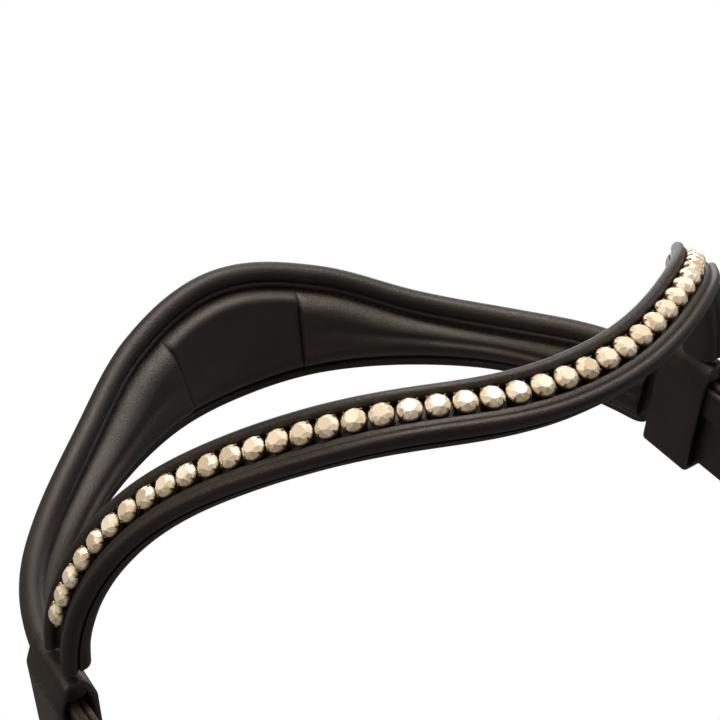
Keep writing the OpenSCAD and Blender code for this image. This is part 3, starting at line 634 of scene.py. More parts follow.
def pad_skin(u0, u1, seed, full, slope, fold):
    """A pad from u0 to u1. Across, at x from the welt: a small round welt, then the pad rising over `slope`
    to its full height and falling over 6.5 mm at the rear. Along, its ends dip into the seams over 2.5 mm,
    and side pads thin out toward their lower ends: `full` and `slope` are millimetres at even steps. `fold`
    is the share of the width at which a shallow valley is pressed along the pad."""
    u = np.linspace(u0, u1, 150)
    front, back, out, width = crown_frame(u)
    a = ROLL_W + PAD_GAP
    room = width - REAR_W - PAD_REAR - a
    j = np.linspace(0, 1, 64)
    x = room[:, None] * (j - 0.055 * np.sin(2 * math.pi * j))
    v = np.abs(u)[:, None]
    welt = 2.5 * MM * np.sqrt(np.clip(1 - ((x - 1.7 * MM) / (1.75 * MM)) ** 2, 0, 1))
    from_welt, to_rear = x - 3.6 * MM, room[:, None] - x
    ends = np.minimum(u[:, None] - u0, u1 - u[:, None]) * CROWN_LENGTH / 2
    lift = plump(from_welt / (along(slope, v) * MM), 0.62) * plump(to_rear / (6.5 * MM), 0.5)
    round_end = 0.8 + 0.2 * plump(ends / (2.5 * MM), 0.5)
    high = along(full, v) * MM * lift * round_end + 0.9 * MM * (from_welt > 0)
    valley = np.exp(-(((x / room[:, None] - fold) / 0.085) ** 2))
    high = high - 0.9 * MM * valley * plump((v - SEAM_AT) / 0.25, 1.0) * (from_welt > 0)
    high = high + ripples(u[:, None] * CROWN_LENGTH / 2, x, seed, 0.12 * MM) * (lift > 0.3)
    high = np.maximum(np.maximum(high, welt), 0.6 * MM)
    floor_x = np.array([1.0, 0.6, 0.3, 0.0])
    across = a + np.concatenate([x, room[:, None] * floor_x], 1)
    inward = np.concatenate([high, np.zeros((len(u), 4))], 1)
    return skin(carried(front, back, out, across, -inward))


SIDE_FULL, SIDE_SLOPE = [8.6, 8.6, 8.0, 6.6, 5.2, 3.4], [7.0, 8.5, 9.0, 8.0, 7.0, 6.0]
CENTRE_FULL, CENTRE_SLOPE = [6.4, 6.4], [4.5, 4.5]
SIDE_FOLD, NO_FOLD = 0.55, 2
centre = pad_skin(-SEAM_AT, SEAM_AT, 1, CENTRE_FULL, CENTRE_SLOPE, NO_FOLD)
left = pad_skin(SEAM_AT, PANEL_LAST, 2, SIDE_FULL, SIDE_SLOPE, SIDE_FOLD)
right = pad_skin(-PANEL_LAST, -SEAM_AT, 3, SIDE_FULL, SIDE_SLOPE, SIDE_FOLD)
centre_pad = soft("headpiece_pad_centre", [centre], "crown_padding_centre")
left_pad = soft("headpiece_pad_left", [left], "crown_padding_left")
right_pad = soft("headpiece_pad_right", [right], "crown_padding_right")
u = np.linspace(-PANEL_LAST, PANEL_LAST, 241)
front, back, out, width = crown_frame(u)
welt_line = front + (ROLL_W + PAD_GAP + 3.55 * MM) * back - 1.15 * MM * out
piece("headpiece_welt_stitching", [bead_rows(welt_line, -out, 3.2 * MM, 2.3 * MM, 0.6 * MM)], linen_thread,
      "headstall")

# ---- Browband ----
# A wave-shaped strap between the loops: firm leather core, a thin roll above the crystals, a flat margin
# and a fuller roll below them, and a soft lining on the horse's side.
BAND_LENGTH = 384 * MM
BAND_TURN = [0, 2, 33, 42, 57, 85]
BAND_RISE = [0, 23, 35, 28, 9, -6]
BAND_TIP = [-20, -11, -2, 4, 4, 2]


def band_heading(u):
    """The browband runs outward and back by its turn, and up by its rise."""
    turn, rise = np.radians(along(BAND_TURN, u)), np.radians(along(BAND_RISE, u))
    return np.stack([np.cos(turn) * np.cos(rise), np.sin(turn) * np.cos(rise), np.sin(rise)], -1)


BAND_WALK = walked(band_heading, BAND_LENGTH / 2)
BAND_MIDDLE = np.array([0, -31, -129]) * MM - BAND_WALK[-1] * [0, 1, 1]


def band_frame(u):
    """Place on the crystals' line, upward and outward directions at u, from -1 to 1, tipped inward at the
    top."""
    v, side = np.abs(u), np.where(u < 0, -1.0, 1.0)[:, None]
    turn, tip = np.radians(along(BAND_TURN, v)), np.radians(along(BAND_TIP, v, True))[:, None]
    level_out = np.stack([np.sin(turn), -np.cos(turn), 0 * turn], -1)
    lift = unit(np.cross(level_out, band_heading(v)))
    flip = np.concatenate([side, 0 * side + 1, 0 * side + 1], 1)
    up, out = np.cos(tip) * lift - np.sin(tip) * level_out, np.cos(tip) * level_out + np.sin(tip) * lift
    return (BAND_MIDDLE + at(BAND_WALK, v)) * flip, up * flip, out * flip


BAND_U = np.linspace(-1, 1, 361)


def band_skin(ring):
    """A closed section of [up, outward] points in millimetres, carried along the browband."""
    place, up, out = band_frame(BAND_U)
    ring = np.asarray(ring) * MM
    return skin(carried(place, up, out, ring[:, 0], ring[:, 1]))


def bulge(up, out, tall, deep, start, stop, count, power=2.0):
    """Part of a rounded outline, in millimetres: a superellipse round [up, out], from start to stop in
    degrees."""
    a = np.radians(np.linspace(start, stop, count))
    c, s = np.cos(a), np.sin(a)
    return np.stack([up + tall * np.sign(c) * np.abs(c) ** (2 / power),
                     out + deep * np.sign(s) * np.abs(s) ** (2 / power)], -1)


core = [(6.2, -1.6), (5, -1.2), (3.6, -1.2), (3.4, -2.4), (-3.4, -2.4), (-3.6, -1.2), (-6, -1.2),
        (-7.3, -1.6),
        (-7.3, -3.6), (-6.5, -4), (5.6, -4), (6.2, -3.6)]
bridle_piece("browband_core", [band_skin(core)], "browband_strap", "browband")
top_roll = bulge(5.25, -0.9, 1.85, 2.05, -60, 240, 24)
soft("browband_top_roll", [band_skin(top_roll)], "browband_upper_roll", "browband")
margin = np.concatenate([[(-3.5, -1.4)], bulge(-4.65, -0.8, 1.15, 0.9, 10, 172, 10, 2.8), [(-5.85, -1.6)]])
low_roll = bulge(-7.0, -1.7, 1.75, 2.75, -95, 200, 26, 2.2)
soft("browband_low_roll", [band_skin(margin), band_skin(low_roll)], "browband_lower_roll", "browband")


def lining_skin():
    """The lining: a half oval on the back of the core, swelling 5 mm, pinched a little at its stitched
    edges and with small ripples along it."""
    u = BAND_U
    place, up, out = band_frame(u)
    a = np.radians(np.linspace(180, 360, 30))
    c, s = np.cos(a), np.abs(np.sin(a))
    across = -1.05 * MM + 7.4 * MM * np.sign(c) * np.abs(c) ** 0.8
    deep = -4.0 * MM - 5.0 * MM * s**0.75 + ripples(u[:, None] * 0.19, across, 5, 0.10 * MM) * s
    return skin(carried(place, up, out, across, deep))


lining = soft("browband_lining_pad", [lining_skin()], "browband_lining", "browband")

# ---- Crystals ----
# Fifty-one round champagne rhinestones, foil-backed, each cut with a flat table and three rows of facets
# and held in a gilt cup by four claws. The cups are linked into one chain that is glued and sewn into the
# channel.
STONE_PITCH, STONE_R = 7 * MM, 3.2 * MM
STONES_SIDE = 25
rng = np.random.default_rng(11)
stone_s = np.arange(-STONES_SIDE, STONES_SIDE + 1) * STONE_PITCH
stone_place, stone_up, stone_out = band_frame(stone_s / (BAND_LENGTH / 2))
stone_along = unit(np.cross(stone_up, stone_out))


def ring_of(count, radius, height, start=0.0):
    """Points of a level ring, in the stone's own directions."""
    a = np.radians(start) + np.arange(count) * 2 * math.pi / count
    return np.stack([radius * np.cos(a), radius * np.sin(a), np.full(count, height)], -1)


def copied(points, faces, turns):
    """The same small mesh at every crystal's place, each turned about its own axis by its angle in
    turns."""
    c, s = np.cos(turns)[:, None], np.sin(turns)[:, None]
    x, y = c * points[:, 0] - s * points[:, 1], s * points[:, 0] + c * points[:, 1]
    z = points[None, :, 2]
    made = (stone_place[:, None] + x[..., None] * stone_along[:, None] + y[..., None] * stone_up[:, None]
            + z[..., None] * stone_out[:, None])
    starts = len(points) * np.arange(len(turns))[:, None, None]
    blocks = [(block[None] + starts).reshape(-1, block.shape[-1]) for block in faces]
    return made.reshape(-1, 3), blocks, np.zeros(made.shape[0] * made.shape[1])


k8, k16 = np.arange(8), np.arange(16)
stone_points = np.concatenate([ring_of(16, STONE_R, -0.28 * MM), ring_of(16, STONE_R, 0.75 * MM),
                               ring_of(8, 0.80 * STONE_R, 1.66 * MM, 22.5),
                               ring_of(8, 0.56 * STONE_R, 2.25 * MM)])
girdle, bezel, table = 16, 32, 40
stone_faces = [
    np.stack([k16, (k16 + 1) % 16, girdle + (k16 + 1) % 16, girdle + k16], -1),
    np.stack([girdle + 2 * k8, girdle + 2 * k8 + 1, bezel + k8], -1),
    np.stack([girdle + 2 * k8 + 1, girdle + (2 * k8 + 2) % 16, bezel + k8], -1),
    np.stack([table + k8, bezel + (k8 - 1) % 8, girdle + 2 * k8, bezel + k8], -1),
    np.stack([table + k8, bezel + k8, table + (k8 + 1) % 8], -1),
    (table + k8)[None],
    k16[::-1][None],
]
stones = copied(stone_points, stone_faces, rng.uniform(0, 2 * math.pi, len(stone_s)))


def foiled_crystal():
    """Leaded glass over champagne foil, bright and clean. Each cut face gets a random brightness from the
    stones' beige to near white: painted glints, a painted reflection of the foil's light sent back from
    another side of the pavilion, put into the colour."""
    made, tree, shader = new_material("foil_backed_champagne_crystal")
    painted_glint = add(tree, "Attribute", attribute_name="painted_facet_glint")
    ramp = add(tree, "ValToRGB", {"Fac": painted_glint.outputs["Fac"]})
    # The ramp's beige end is the stones' own champagne colour; its lighter steps up to near white are painted
    # glints.
    ramp.color_ramp.elements[0].color = hex_linear("cdbda4")
    ramp.color_ramp.elements[1].color = hex_linear("fffaf0")
    for spot, code in ((0.35, "e3d4ba"), (0.7, "f3e6cf")):
        ramp.color_ramp.elements.new(spot).color = hex_linear(code)
    feed(tree, shader, {"Base Color": ramp.outputs["Color"], "Roughness": 0.3, "IOR": 1.6,
                        "Coat Weight": 1.0,
                        "Coat Roughness": 0.02})
    return made


crystals = piece("crystals_cut", [stones], foiled_crystal(), "browband", ["crystals"], sharp=5)
# A random value for each face of the stones, which the crystal material turns into a painted glint: a lighter
# colour on some faces than others.
painted_facet_glint = crystals.data.attributes.new("painted_facet_glint", "FLOAT", "FACE")
painted_facet_glint.data.foreach_set("value", rng.uniform(0, 1, len(crystals.data.polygons)).astype(np.float32))

cup_profile = np.array([(2.0, -1.15), (3.1, -1.1), (3.34, -0.6), (3.4, 0.25), (3.32, 0.4), (3.21, 0.25),
                        (3.2, -0.5),
                        (2.0, -0.6)]) * MM
a = np.linspace(0, 2 * math.pi, 20, endpoint=False)
cup_points = np.stack([np.outer(np.cos(a), cup_profile[:, 0]), np.outer(np.sin(a), cup_profile[:, 0]),
                       np.broadcast_to(cup_profile[:, 1], (20, 8))], -1)
cup = skin(cup_points, loop=True)
claw_ring = np.linspace(0, 2 * math.pi, 6, endpoint=False)
claw_run = np.array([(3.42, 0.2), (3.42, 0.9), (3.16, 1.25), (2.85, 1.52)]) * MM
claws = []
for corner in np.radians([45, 135, 225, 315]):
    way = np.array([math.cos(corner), math.sin(corner), 0])
    side = np.array([-math.sin(corner), math.cos(corner), 0])
    thick = np.array([0.32, 0.32, 0.3, 0.16]) * MM
    middle = claw_run[:, :1] * way + claw_run[:, 1:] * [0, 0, 1]
    rings = (middle[:, None] + thick[:, None, None] * (np.cos(claw_ring)[:, None] * side
             + np.sin(claw_ring)[:, None] * unit(way + [0, 0, 1])))
    claws.append(skin(rings))
level_turns = np.zeros(len(stone_s))
chain = [copied(cup[0], cup[1], level_turns)] + [copied(c[0], c[1], level_turns) for c in claws]


def gilt(name):
    """Pale gilt brass, drawn into cups: warm, fairly bright, dulled in spots by handling."""
    made, tree, shader = new_material(name)
    dull = noise(tree, 2 * MM, 3.0)
    feed(tree, shader, {"Base Color": two_tone(tree, dull, "8f7f66", "c4b596"), "Metallic": 1.0,
                        "Roughness": ranged(tree, dull, 0.22, 0.4)})
    return made


piece("crystal_cup_chain", chain, gilt("pale_gilt_brass"), "browband", ["crystal_channel"])

# ---- Browband loops ----
# Each end of the browband is folded into an upright leather loop, 23 mm tall, that the headpiece branch and
# the noseband billet pass through. It is one strip, skived at its seam and sewn in front behind the band's
# plain end.
LOOP_H, LOOP_WALL, LOOP_FREE = 23 * MM, 2.4 * MM, 1 * MM
LOOP_MID_Z = -115 * MM - LOOP_H / 2
LOOP_FRONT = -28 * MM
NOSE_BILLET_T = 2.5 * MM


def rounded_path(corners, radius, count=7):
    """Closed path with round corners: each corner gives way to an arc that touches its two sides."""
    corners = np.asarray(corners, float)
    before, after = unit(np.roll(corners, 1, 0) - corners), unit(np.roll(corners, -1, 0) - corners)
    half = np.arccos(np.clip((before * after).sum(-1), -1, 1)) / 2
    reach = radius / np.tan(half)
    centre = corners + unit(before + after) * (radius / np.sin(half))[:, None]
    first, last = corners + before * reach[:, None], corners + after * reach[:, None]
    t = np.linspace(0, 1, count)[None, :, None]
    chord = first[:, None] * (1 - t) + last[:, None] * t
    arc = centre[:, None] + unit(chord - centre[:, None]) * radius
    arc = arc.reshape(-1, corners.shape[1])
    return np.concatenate([arc, arc[:1]])


def upright(points):
    """Turns a strap's own directions so that its middle line lies level and its width stands up."""
    return np.stack([points[..., 0], points[..., 2], points[..., 1]], -1)


x0, x1 = BRANCH[0] - NOSE_BILLET_T - LOOP_FREE, BRANCH[0] + CROWN_T + LOOP_FREE
y0, y1 = BRANCH_FRONT - LOOP_FREE, BRANCH_REAR + LOOP_FREE
h = LOOP_WALL / 2
loop_corners = [(x0 - h, y0 + 1 * MM), (x0 + 0.5 * MM, LOOP_FRONT + h + 3 * MM),
                (x0 + 2.5 * MM, LOOP_FRONT + h),
                (x1 - 1.6 * MM, LOOP_FRONT + h), (x1 + h, y0 + 1 * MM), (x1 + h, y1 + h), (x0 - h, y1 + h)]
loop_path = rounded_path(loop_corners, 1.7 * MM)
for side, end in SIDES:
    stand = lambda p: (upright(p) + [0, 0, LOOP_MID_Z]) * [side, 1, 1]
    wrap = flat_strap(loop_path, LOOP_WALL, LOOP_H, 0.8 * MM, loop=True)
    a = np.linspace(0, 2 * math.pi, 18, endpoint=False)
    tall = np.linspace(-0.46, 0.46, 14) * LOOP_H
    filler = np.stack([np.broadcast_to((x0 + x1) / 2 + (x1 - x0) * 0.46 * np.cos(a), (14, 18)),
                       np.broadcast_to(y0 - 3.1 * MM + 2.9 * MM * np.sin(a), (14, 18)),
                       np.broadcast_to(LOOP_MID_Z + tall[:, None], (14, 18))], -1) * [side, 1, 1]
    bridle_piece("browband_loop_leather" + end, [moved(wrap, stand), skin(filler)], "browband_loop" + end,
         "browband")
    z = np.linspace(-0.42, 0.42, 30) * LOOP_H + LOOP_MID_Z
    line = np.stack([0 * z + x1 + LOOP_WALL + 0.05 * MM, 0 * z + y0 + 2.6 * MM, z], -1) * [side, 1, 1]
    rows = [bead_rows(line, 0 * line + [side, 0, 0], 3 * MM, 2.2 * MM, 0.55 * MM)]
    piece("browband_loop_stitching" + end, rows, linen_thread, "browband")

# ---- Buckles ----
# Stainless steel, cast and polished: a square frame of 3 mm wire with soft corners whose lower side is the
# bar, and a tongue bent round the bar. The strap's fold holds the bar, and the tongue stands in the
# billet's hole.
BUCKLE_L, WIRE_D, TONGUE_L = 20 * MM, 3 * MM, 22.2 * MM


def polished_steel(name):
    """Polished stainless: nearly mirror bright, with faint drawn scratches and duller patches from
    handling."""
    made, tree, shader = new_material(name)
    dull = noise(tree, 4 * MM, 4.0)
    feed(tree, shader, {"Base Color": two_tone(tree, dull, "b9bbbd", "d2d3d4"), "Metallic": 1.0,
                        "Roughness": ranged(tree, dull, 0.14, 0.3),
                        "Normal": bumped(tree, noise(tree, 0.5 * MM, 2.0), 0.15, 0.02 * MM)})
    return made


steel = polished_steel("polished_stainless_steel")


def wire(path, radius, square_to, closed=False):
    """Round wire along a flat path: circles of the given radii, turned square to it. `square_to` is the
    direction square to the plane that the path lies in."""
    path = np.asarray(path, float)
    path = path[:-1] if closed else path
    way = unit(np.roll(path, -1, 0) - np.roll(path, 1, 0)) if closed else unit(np.gradient(path, axis=0))
    flat = unit(np.cross(way, square_to))
    other = np.cross(way, flat)
    a = np.linspace(0, 2 * math.pi, 14, endpoint=False)[None, :, None]
    r = np.broadcast_to(radius, len(path))[:, None, None]
    return skin(path[:, None] + r * (np.cos(a) * flat[:, None] + np.sin(a) * other[:, None]), loop=closed)


def buckle_frame(wide):
    """The frame: a closed wire round a rectangle from the bar to its far side, 1 mm wider than the strap
    each side."""
    half = wide / 2 + 1 * MM + WIRE_D / 2
    outline = rounded_path([(-half, 0), (half, 0), (half, BUCKLE_L), (-half, BUCKLE_L)], 3.2 * MM)
    upright_path = np.stack([0 * outline[:, 0], outline[:, 0], outline[:, 1]], -1)
    return wire(upright_path, WIRE_D / 2, (1, 0, 0), closed=True)


def tongue_skin():
    """The tongue: once round the bar, then straight up the face of the frame, tapering and dipping at its
    tip."""
    turn = np.radians(np.linspace(-250, 0, 24))
    eye = np.stack([2.35 * MM * np.cos(turn), 0 * turn, 2.35 * MM * np.sin(turn)], -1)
    z = np.linspace(0.5 * MM, TONGUE_L, 26)
    stem = np.stack([(2.4 + 0.35 * np.sin(z / TONGUE_L * math.pi)) * MM, 0 * z, z], -1)
    path = np.concatenate([eye, stem])
    run = np.linspace(0, 1, len(path))
    radius = np.interp(run, [0, 0.03, 0.5, 0.92, 1], [0.5, 0.78, 0.95, 0.8, 0.35]) * MM
    points, faces, edge = wire(path, radius, (0, 1, 0))
    return points * [1, 1.55, 1], faces, edge


# ---- Strap folds, keepers and runners ----
# Where a strap holds a buckle its end is skived, folded round the bar and sewn back on itself. A fixed
# keeper is sewn in below the fold, and a loose runner slides on the strap and takes the billet's end.
FOLD_IN, FOLD_OUT, FOLD_HALF, SINGLE_Z = 1.6 * MM, 3.9 * MM, 2.6 * MM, -50 * MM
KEEPER_WALL = 1.6 * MM


def fold_skins(wide):
    """The folded end: the outer layer down to where it is skived away, and the turn round the bar."""
    mid, layer = (FOLD_IN + FOLD_OUT) / 2, FOLD_OUT - FOLD_IN
    turn = np.radians(np.linspace(0, 180, 19))
    top = np.stack([mid * np.cos(turn), mid * np.sin(turn)], -1)
    down = np.array([(1.32 * MM, z) for z in np.linspace(-40, -9, 12) * MM])
    back = np.array([(-1.3 * MM, z) for z in np.linspace(-9, -34, 12) * MM])
    return flat_strap(np.concatenate([down, top, back]), layer + 0.2 * MM, wide, start_tip=5 * MM)


def fold_stitches(wide, low=-38):
    """Two rows of stitches along the fold's edges, on its outer face."""
    z = np.linspace(low, -9, 40) * MM
    rows = []
    for y in (-wide / 2 + 2 * MM, wide / 2 - 2 * MM):
        line = np.stack([0 * z + 2.62 * MM, 0 * z + y, z], -1)
        rows.append(bead_rows(line, 0 * line + [1, 0, 0], 3.2 * MM, 2.4 * MM, 0.55 * MM))
    return rows


def ring_keeper(wide, x0, x1, free, z, tall=8 * MM):
    """A leather ring round everything from x0 to x1, its bottom at z."""
    x0, x1, half = x0 - KEEPER_WALL / 2, x1 + KEEPER_WALL / 2, wide / 2 + free + KEEPER_WALL / 2
    path = rounded_path([(x0, -half), (x1, -half), (x1, half), (x0, half)], 1.3 * MM, 6)
    made = flat_strap(path, KEEPER_WALL, tall, 0.7 * MM, loop=True, crease=1.4 * MM)
    return moved(made, lambda p: upright(p) + [0, 0, z + tall / 2])


def fixed_keeper(wide):
    return ring_keeper(wide, -FOLD_HALF, BILLET_REST + CROWN_T / 2 + 0.2 * MM, 0.4 * MM, -21 * MM)


def runner(wide):
    return ring_keeper(wide, -FOLD_HALF - 0.35 * MM, BILLET_REST + CROWN_T / 2 + 0.35 * MM, 0.6 * MM,
                       -39 * MM)


def slotted(made, place):
    """The folded strap with the slot for the tongue cut through its turn."""
    line = [(-9 * MM, 1 * MM), (9 * MM, 1 * MM)]
    return punched(made, [moved(flat_strap(line, 12 * MM, TONGUE_W + 1.4 * MM, 3 * MM, crease=0), place)])


def buckle_kit(kit, end, sewn, place, wide, keeper=True):
    """What every buckle has: the fold's stitching, the frame, the tongue, mostly a fixed keeper, and the
    runner."""
    piece(sewn + end, [moved(row, place) for row in fold_stitches(wide)], linen_thread, "headstall")
    frame_node, tongue_node = kit + "_buckle" + end, kit + "_tongue" + end
    piece(kit + "_buckle_frame" + end, [moved(buckle_frame(wide), place)], steel, "headstall",
          [frame_node])
    piece(kit + "_buckle_tongue" + end, [moved(tongue_skin(), place)], steel, tongue_node,
          [tongue_node])
    if keeper:
        bridle_piece(kit + "_keeper_leather" + end, [moved(fixed_keeper(wide), place)],
                     kit + "_keeper" + end)
    runner_node = kit + "_runner" + end
    bridle_piece(kit + "_runner_leather" + end, [moved(runner(wide), place)], runner_node, runner_node)


# ---- Cheekpieces ----
# The straps that carry the bit: a buckle fold at the top, a single 16 mm strap, and a round fold for the
# bit ring whose end goes back up on the horse's side through a runner and is hung on a hook stud.
CHEEK_DROP = 235 * MM
BIT_MID, TAIL_BACK = 6.45 * MM, -5.8 * MM
SINGLE_X = STRAP_T / 2 - FOLD_HALF
for side, end in SIDES:
    place = kit_place(side, CHEEK_Y)
    turn = np.radians(np.linspace(-10, -170, 21))
    bit_turn = np.stack([SINGLE_X + BIT_MID * np.cos(turn), -CHEEK_DROP + BIT_MID * np.sin(turn)], -1)
    line = np.concatenate([[(SINGLE_X, z) for z in np.linspace(-10 * MM, 26 * MM - CHEEK_DROP, 60)],
                           [(SINGLE_X + 5.2 * MM, 9 * MM - CHEEK_DROP)], bit_turn,
                           [(SINGLE_X - 5.0 * MM, 9 * MM - CHEEK_DROP)],
                           [(TAIL_BACK + STRAP_T / 2, z)
                            for z in np.linspace(26 * MM - CHEEK_DROP, 59 * MM - CHEEK_DROP, 12)]])
    strap = flat_strap(line, STRAP_T, CHEEK_W, tip=7 * MM)
    made = bridle_piece("cheekpiece_leather" + end,
                        [moved(strap, place), moved(fold_skins(CHEEK_W), place)],
                "cheekpiece" + end)
    slotted(made, place)
    buckle_kit("cheek", end, "cheekpiece_stitching", place, CHEEK_W)
    x0, x1 = TAIL_BACK - 0.35 * MM, STRAP_T - FOLD_HALF + 0.35 * MM
    bit_keeper = ring_keeper(CHEEK_W, x0, x1, 0.6 * MM, 28 * MM - CHEEK_DROP)
    bridle_piece("bit_runner_leather" + end, [moved(bit_keeper, place)], "bit_runner" + end,
                 "bit_runner" + end)
    stud_z = 47 * MM - CHEEK_DROP
    neck = rod((TAIL_BACK + 0.4 * MM, 0, stud_z), (TAIL_BACK - 2.6 * MM, 0, stud_z), 1.5 * MM)
    hook_line = np.stack([np.full(14, TAIL_BACK - 3.1 * MM), stud_z + np.linspace(-3, 9, 14) * MM], -1)
    hook = flat_strap(hook_line, 1.6 * MM, 5 * MM, 0.6 * MM, 2.4 * MM, 2.4 * MM, crease=0)
    piece("hook_stud_steel" + end, [moved(neck, place), moved(hook, place)], steel, "headstall",
          ["hook_stud" + end])

# ---- Noseband ----
# A cavesson: two thin billets from under the headpiece are buckled to hangers, which carry the padded front
# of the noseband. It is a firm band with a soft lining that stands out above and below it.
NOSE_X, NOSE_BAR_Z, NOSE_START = -14 * MM, -120 * MM, -55 * MM
NOSE_SIDE_Y0, NOSE_DEPTH, NOSE_H = -20 * MM, 95 * MM, 30 * MM
HANGER_TURN, HANGER_DOWN = -75 * MM, 26 * MM
nose_top_x = BRANCH[0] - NOSE_BILLET_T / 2
end = hanging(np.array([NOSE_X, 0, NOSE_START]), 1, 0)
f = np.linspace(0, 1, 30)
high_z = SPLIT_Z + 2 * MM
fall = high_z - end[2]
reach = ((2 * f**3 - 3 * f**2 + 1) * nose_top_x + (3 * f**2 - 2 * f**3) * end[0]
         - (f**3 - f**2) * fall * math.tan(LEAN))
billet_top = np.concatenate([in_hang(np.full(8, nose_top_x), np.linspace(BRANCH[2], high_z + 3 * MM, 8)),
                             in_hang(reach, high_z - f * fall)]) - [NOSE_X, NOSE_BAR_Z]
for side, end in SIDES:
    place = kit_place(side, CHEEK_Y, NOSE_X, NOSE_BAR_Z)
    line = np.concatenate([billet_top, billet_line(NOSE_START - NOSE_BAR_Z - 1 * MM, BILLET_END)])
    billet = flat_strap(line, NOSE_BILLET_T, NARROW_W, tip=7 * MM)
    made = bridle_piece("noseband_billet_leather" + end, [moved(billet, place)], "noseband_billet" + end)
    punched(made, billet_cutters(place))
    down = np.linspace(0, HANGER_DOWN, 12)
    line = np.concatenate([[(SINGLE_X, z) for z in np.linspace(-10, -71, 30) * MM],
                           np.stack([SINGLE_X + down * math.sin(LEAN),
                                     HANGER_TURN - down * math.cos(LEAN)], -1)])
    hanger = flat_strap(line, STRAP_T, NARROW_W, tip=5 * MM)
    made = bridle_piece("noseband_hanger_leather" + end,
                        [moved(hanger, place), moved(fold_skins(NARROW_W), place)],
                "noseband_hanger" + end)
    slotted(made, place)
    buckle_kit("noseband", end, "noseband_hanger_stitching", place, NARROW_W, keeper=False)

turn_place = hanging(np.array([NOSE_X + SINGLE_X, 0, NOSE_BAR_Z + HANGER_TURN]), 1, 0)
NOSE_HALF = turn_place[0] - STRAP_T / 2 - 0.4 * MM
NOSE_TOP = hanging(np.array([NOSE_X, 0, NOSE_BAR_Z + HANGER_TURN]), 1, 0)[2] - 1 * MM
NOSE_MID = NOSE_TOP - NOSE_H / 2


def nose_line(inward):
    """The front of the noseband in plan: straight sides, then half an ellipse round the nose."""
    a = np.linspace(0, math.pi, 90)
    arc = np.stack([(NOSE_HALF - inward) * np.cos(a), NOSE_SIDE_Y0 - (NOSE_DEPTH - inward) * np.sin(a)], -1)
    return np.concatenate([[(NOSE_HALF - inward, y) for y in (0, -7 * MM, -14 * MM)], arc,
                           [(inward - NOSE_HALF, y) for y in (-14 * MM, -7 * MM, 0)]])


level_place = lambda p: upright(p) + [0, 0, NOSE_MID]
band_line = resampled(nose_line(0), 2 * MM)
way = unit(np.gradient(band_line, axis=0))
outward = np.stack([-way[:, 1], way[:, 0], 0 * way[:, 0]], -1) * -1
nose_place = np.stack([band_line[:, 0], band_line[:, 1], np.full(len(band_line), NOSE_MID)], -1)
stand_up = np.tile([0.0, 0, 1.0], (len(nose_place), 1))
face = np.concatenate([bulge(0, -1.9, 15.0, 1.9, 0, 180, 40, 5.0), [(-14.6, -3.4), (14.6, -3.4)]]) * MM
band = skin(carried(nose_place, stand_up, outward, face[:, 0], face[:, 1]))
bridle_piece("noseband_leather", [band], "noseband_strap")
nose_rows = []
for z in (-11.6 * MM, 11.6 * MM):
    nose_rows.append(bead_rows(nose_place + [0, 0, z] + 0.02 * MM * outward, outward, 3.4 * MM, 2.6 * MM,
                               0.6 * MM))
piece("noseband_stitching", nose_rows, linen_thread, "headstall")
nose_ring = np.linspace(0, 2 * math.pi, 48, endpoint=False)
c, s = np.cos(nose_ring), np.sin(nose_ring)
tall = 16.4 * MM * np.sign(c) * np.abs(c) ** 0.55
thick = np.where(s > 0, -3.5 * MM - 0.1 * MM * s, -3.6 * MM - 7.8 * MM * np.abs(s) ** 0.6)
run = np.linspace(0, 0.3, len(nose_place))[:, None]
thick = thick + ripples(run, tall, 8, 0.15 * MM) * (s < -0.1)
nose_pad = soft("noseband_pad", [skin(carried(nose_place, stand_up, outward, tall, thick))],
                "noseband_padding")

# ---- Noseband rear ----
# The chin strap and its billet close the noseband behind the jaw. Both are single 19 mm straps sewn into
# the ends of the padded front, with the buckle a little to one side.
NOSE_SIDE_Y1, CHIN_R, CHIN_W, CHIN_BAR_X = 35 * MM, 32 * MM, 19 * MM, -8 * MM
CHIN_START, CHIN_LAP = 42 * MM, -50 * MM
CHIN_Y = NOSE_SIDE_Y1 + CHIN_R - 2.5 * MM


def chin_line(inward, x1):
    """The rear of the noseband in plan: back along the side, round a quarter circle, and across to x1."""
    a = np.radians(np.linspace(0, 90, 20))
    r = CHIN_R - inward
    arc = np.stack([NOSE_HALF - CHIN_R + r * np.cos(a), NOSE_SIDE_Y1 + r * np.sin(a)], -1)
    return np.concatenate([[(NOSE_HALF - inward, y) for y in np.linspace(0.2, 34, 12) * MM], arc,
                           [(x, NOSE_SIDE_Y1 + r) for x in np.linspace(NOSE_HALF - CHIN_R - 1 * MM, x1,
                                                                       12)]])


def chin_place(points):
    """A buckle kit laid across the back: its own up runs to -X, and its outward side to the rear."""
    return np.stack([CHIN_BAR_X - points[..., 2], CHIN_Y + points[..., 0], NOSE_MID + points[..., 1]], -1)


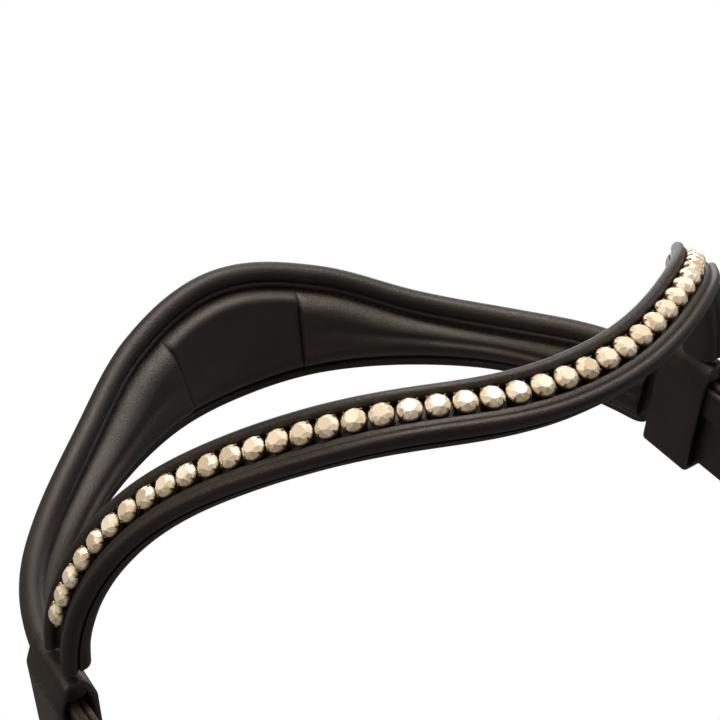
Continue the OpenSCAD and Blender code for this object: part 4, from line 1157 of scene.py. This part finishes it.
strap = flat_strap(chin_line(2.5 * MM - SINGLE_X, CHIN_BAR_X + 30 * MM), STRAP_T, CHIN_W)
made = bridle_piece("chin_strap_leather", [moved(strap, level_place),
                                           moved(fold_skins(CHIN_W), chin_place)],
            "chin_strap")
slotted(made, chin_place)
far_line = chin_line(2.5 * MM, -CHIN_BAR_X + CHIN_START) * [-1, 1]
join = billet_line(CHIN_START, CHIN_LAP)
rear_line = np.concatenate([far_line[:-1], np.stack([CHIN_BAR_X - join[:, 1], CHIN_Y + join[:, 0]], -1)])
billet = flat_strap(rear_line, STRAP_T, CHIN_W, tip=9 * MM)
made = bridle_piece("chin_billet_leather", [moved(billet, level_place)], "chin_billet")
punched(made, billet_cutters(chin_place))
buckle_kit("chin", "", "chin_stitching", chin_place, CHIN_W)

# ---- Throatlash ----
# A narrow strap under the throat that keeps the headpiece from slipping forward, buckled to the rear
# billets on both sides. It hangs in a deep curve.
THROAT_DROP = 130 * MM
start = hanging(np.array([SINGLE_X, 0, BAR_Z + SINGLE_Z]), 1, 0)
low_z = start[2] - THROAT_DROP + 50 * MM
a, b = start[[0, 2]], start[[0, 2]] - 60 * MM * np.array([math.sin(LEAN), math.cos(LEAN)])
c, d = np.array([62 * MM, low_z]), np.array([0, low_z])
f = np.linspace(0, 1, 80)[:, None]
left_half = (1 - f) ** 3 * a + 3 * (1 - f) ** 2 * f * b + 3 * (1 - f) * f**2 * c + f**3 * d
up_part = a + (np.linspace(36, 2, 14) * MM)[:, None] * np.array([math.sin(LEAN), math.cos(LEAN)])
left_half = np.concatenate([up_part, left_half])
throat_line = np.concatenate([left_half, left_half[-2::-1] * [-1, 1]])
throat_skins = [moved(flat_strap(throat_line, STRAP_T, NARROW_W), lambda p: p + [0, THROAT_Y, 0])]
throat_skins += [moved(fold_skins(NARROW_W), kit_place(side, THROAT_Y)) for side in (1, -1)]
made = bridle_piece("throatlash_leather", throat_skins, "throatlash_strap")
for side, end in SIDES:
    place = kit_place(side, THROAT_Y)
    slotted(made, place)
    buckle_kit("throat", end, "throatlash_stitching", place, NARROW_W)
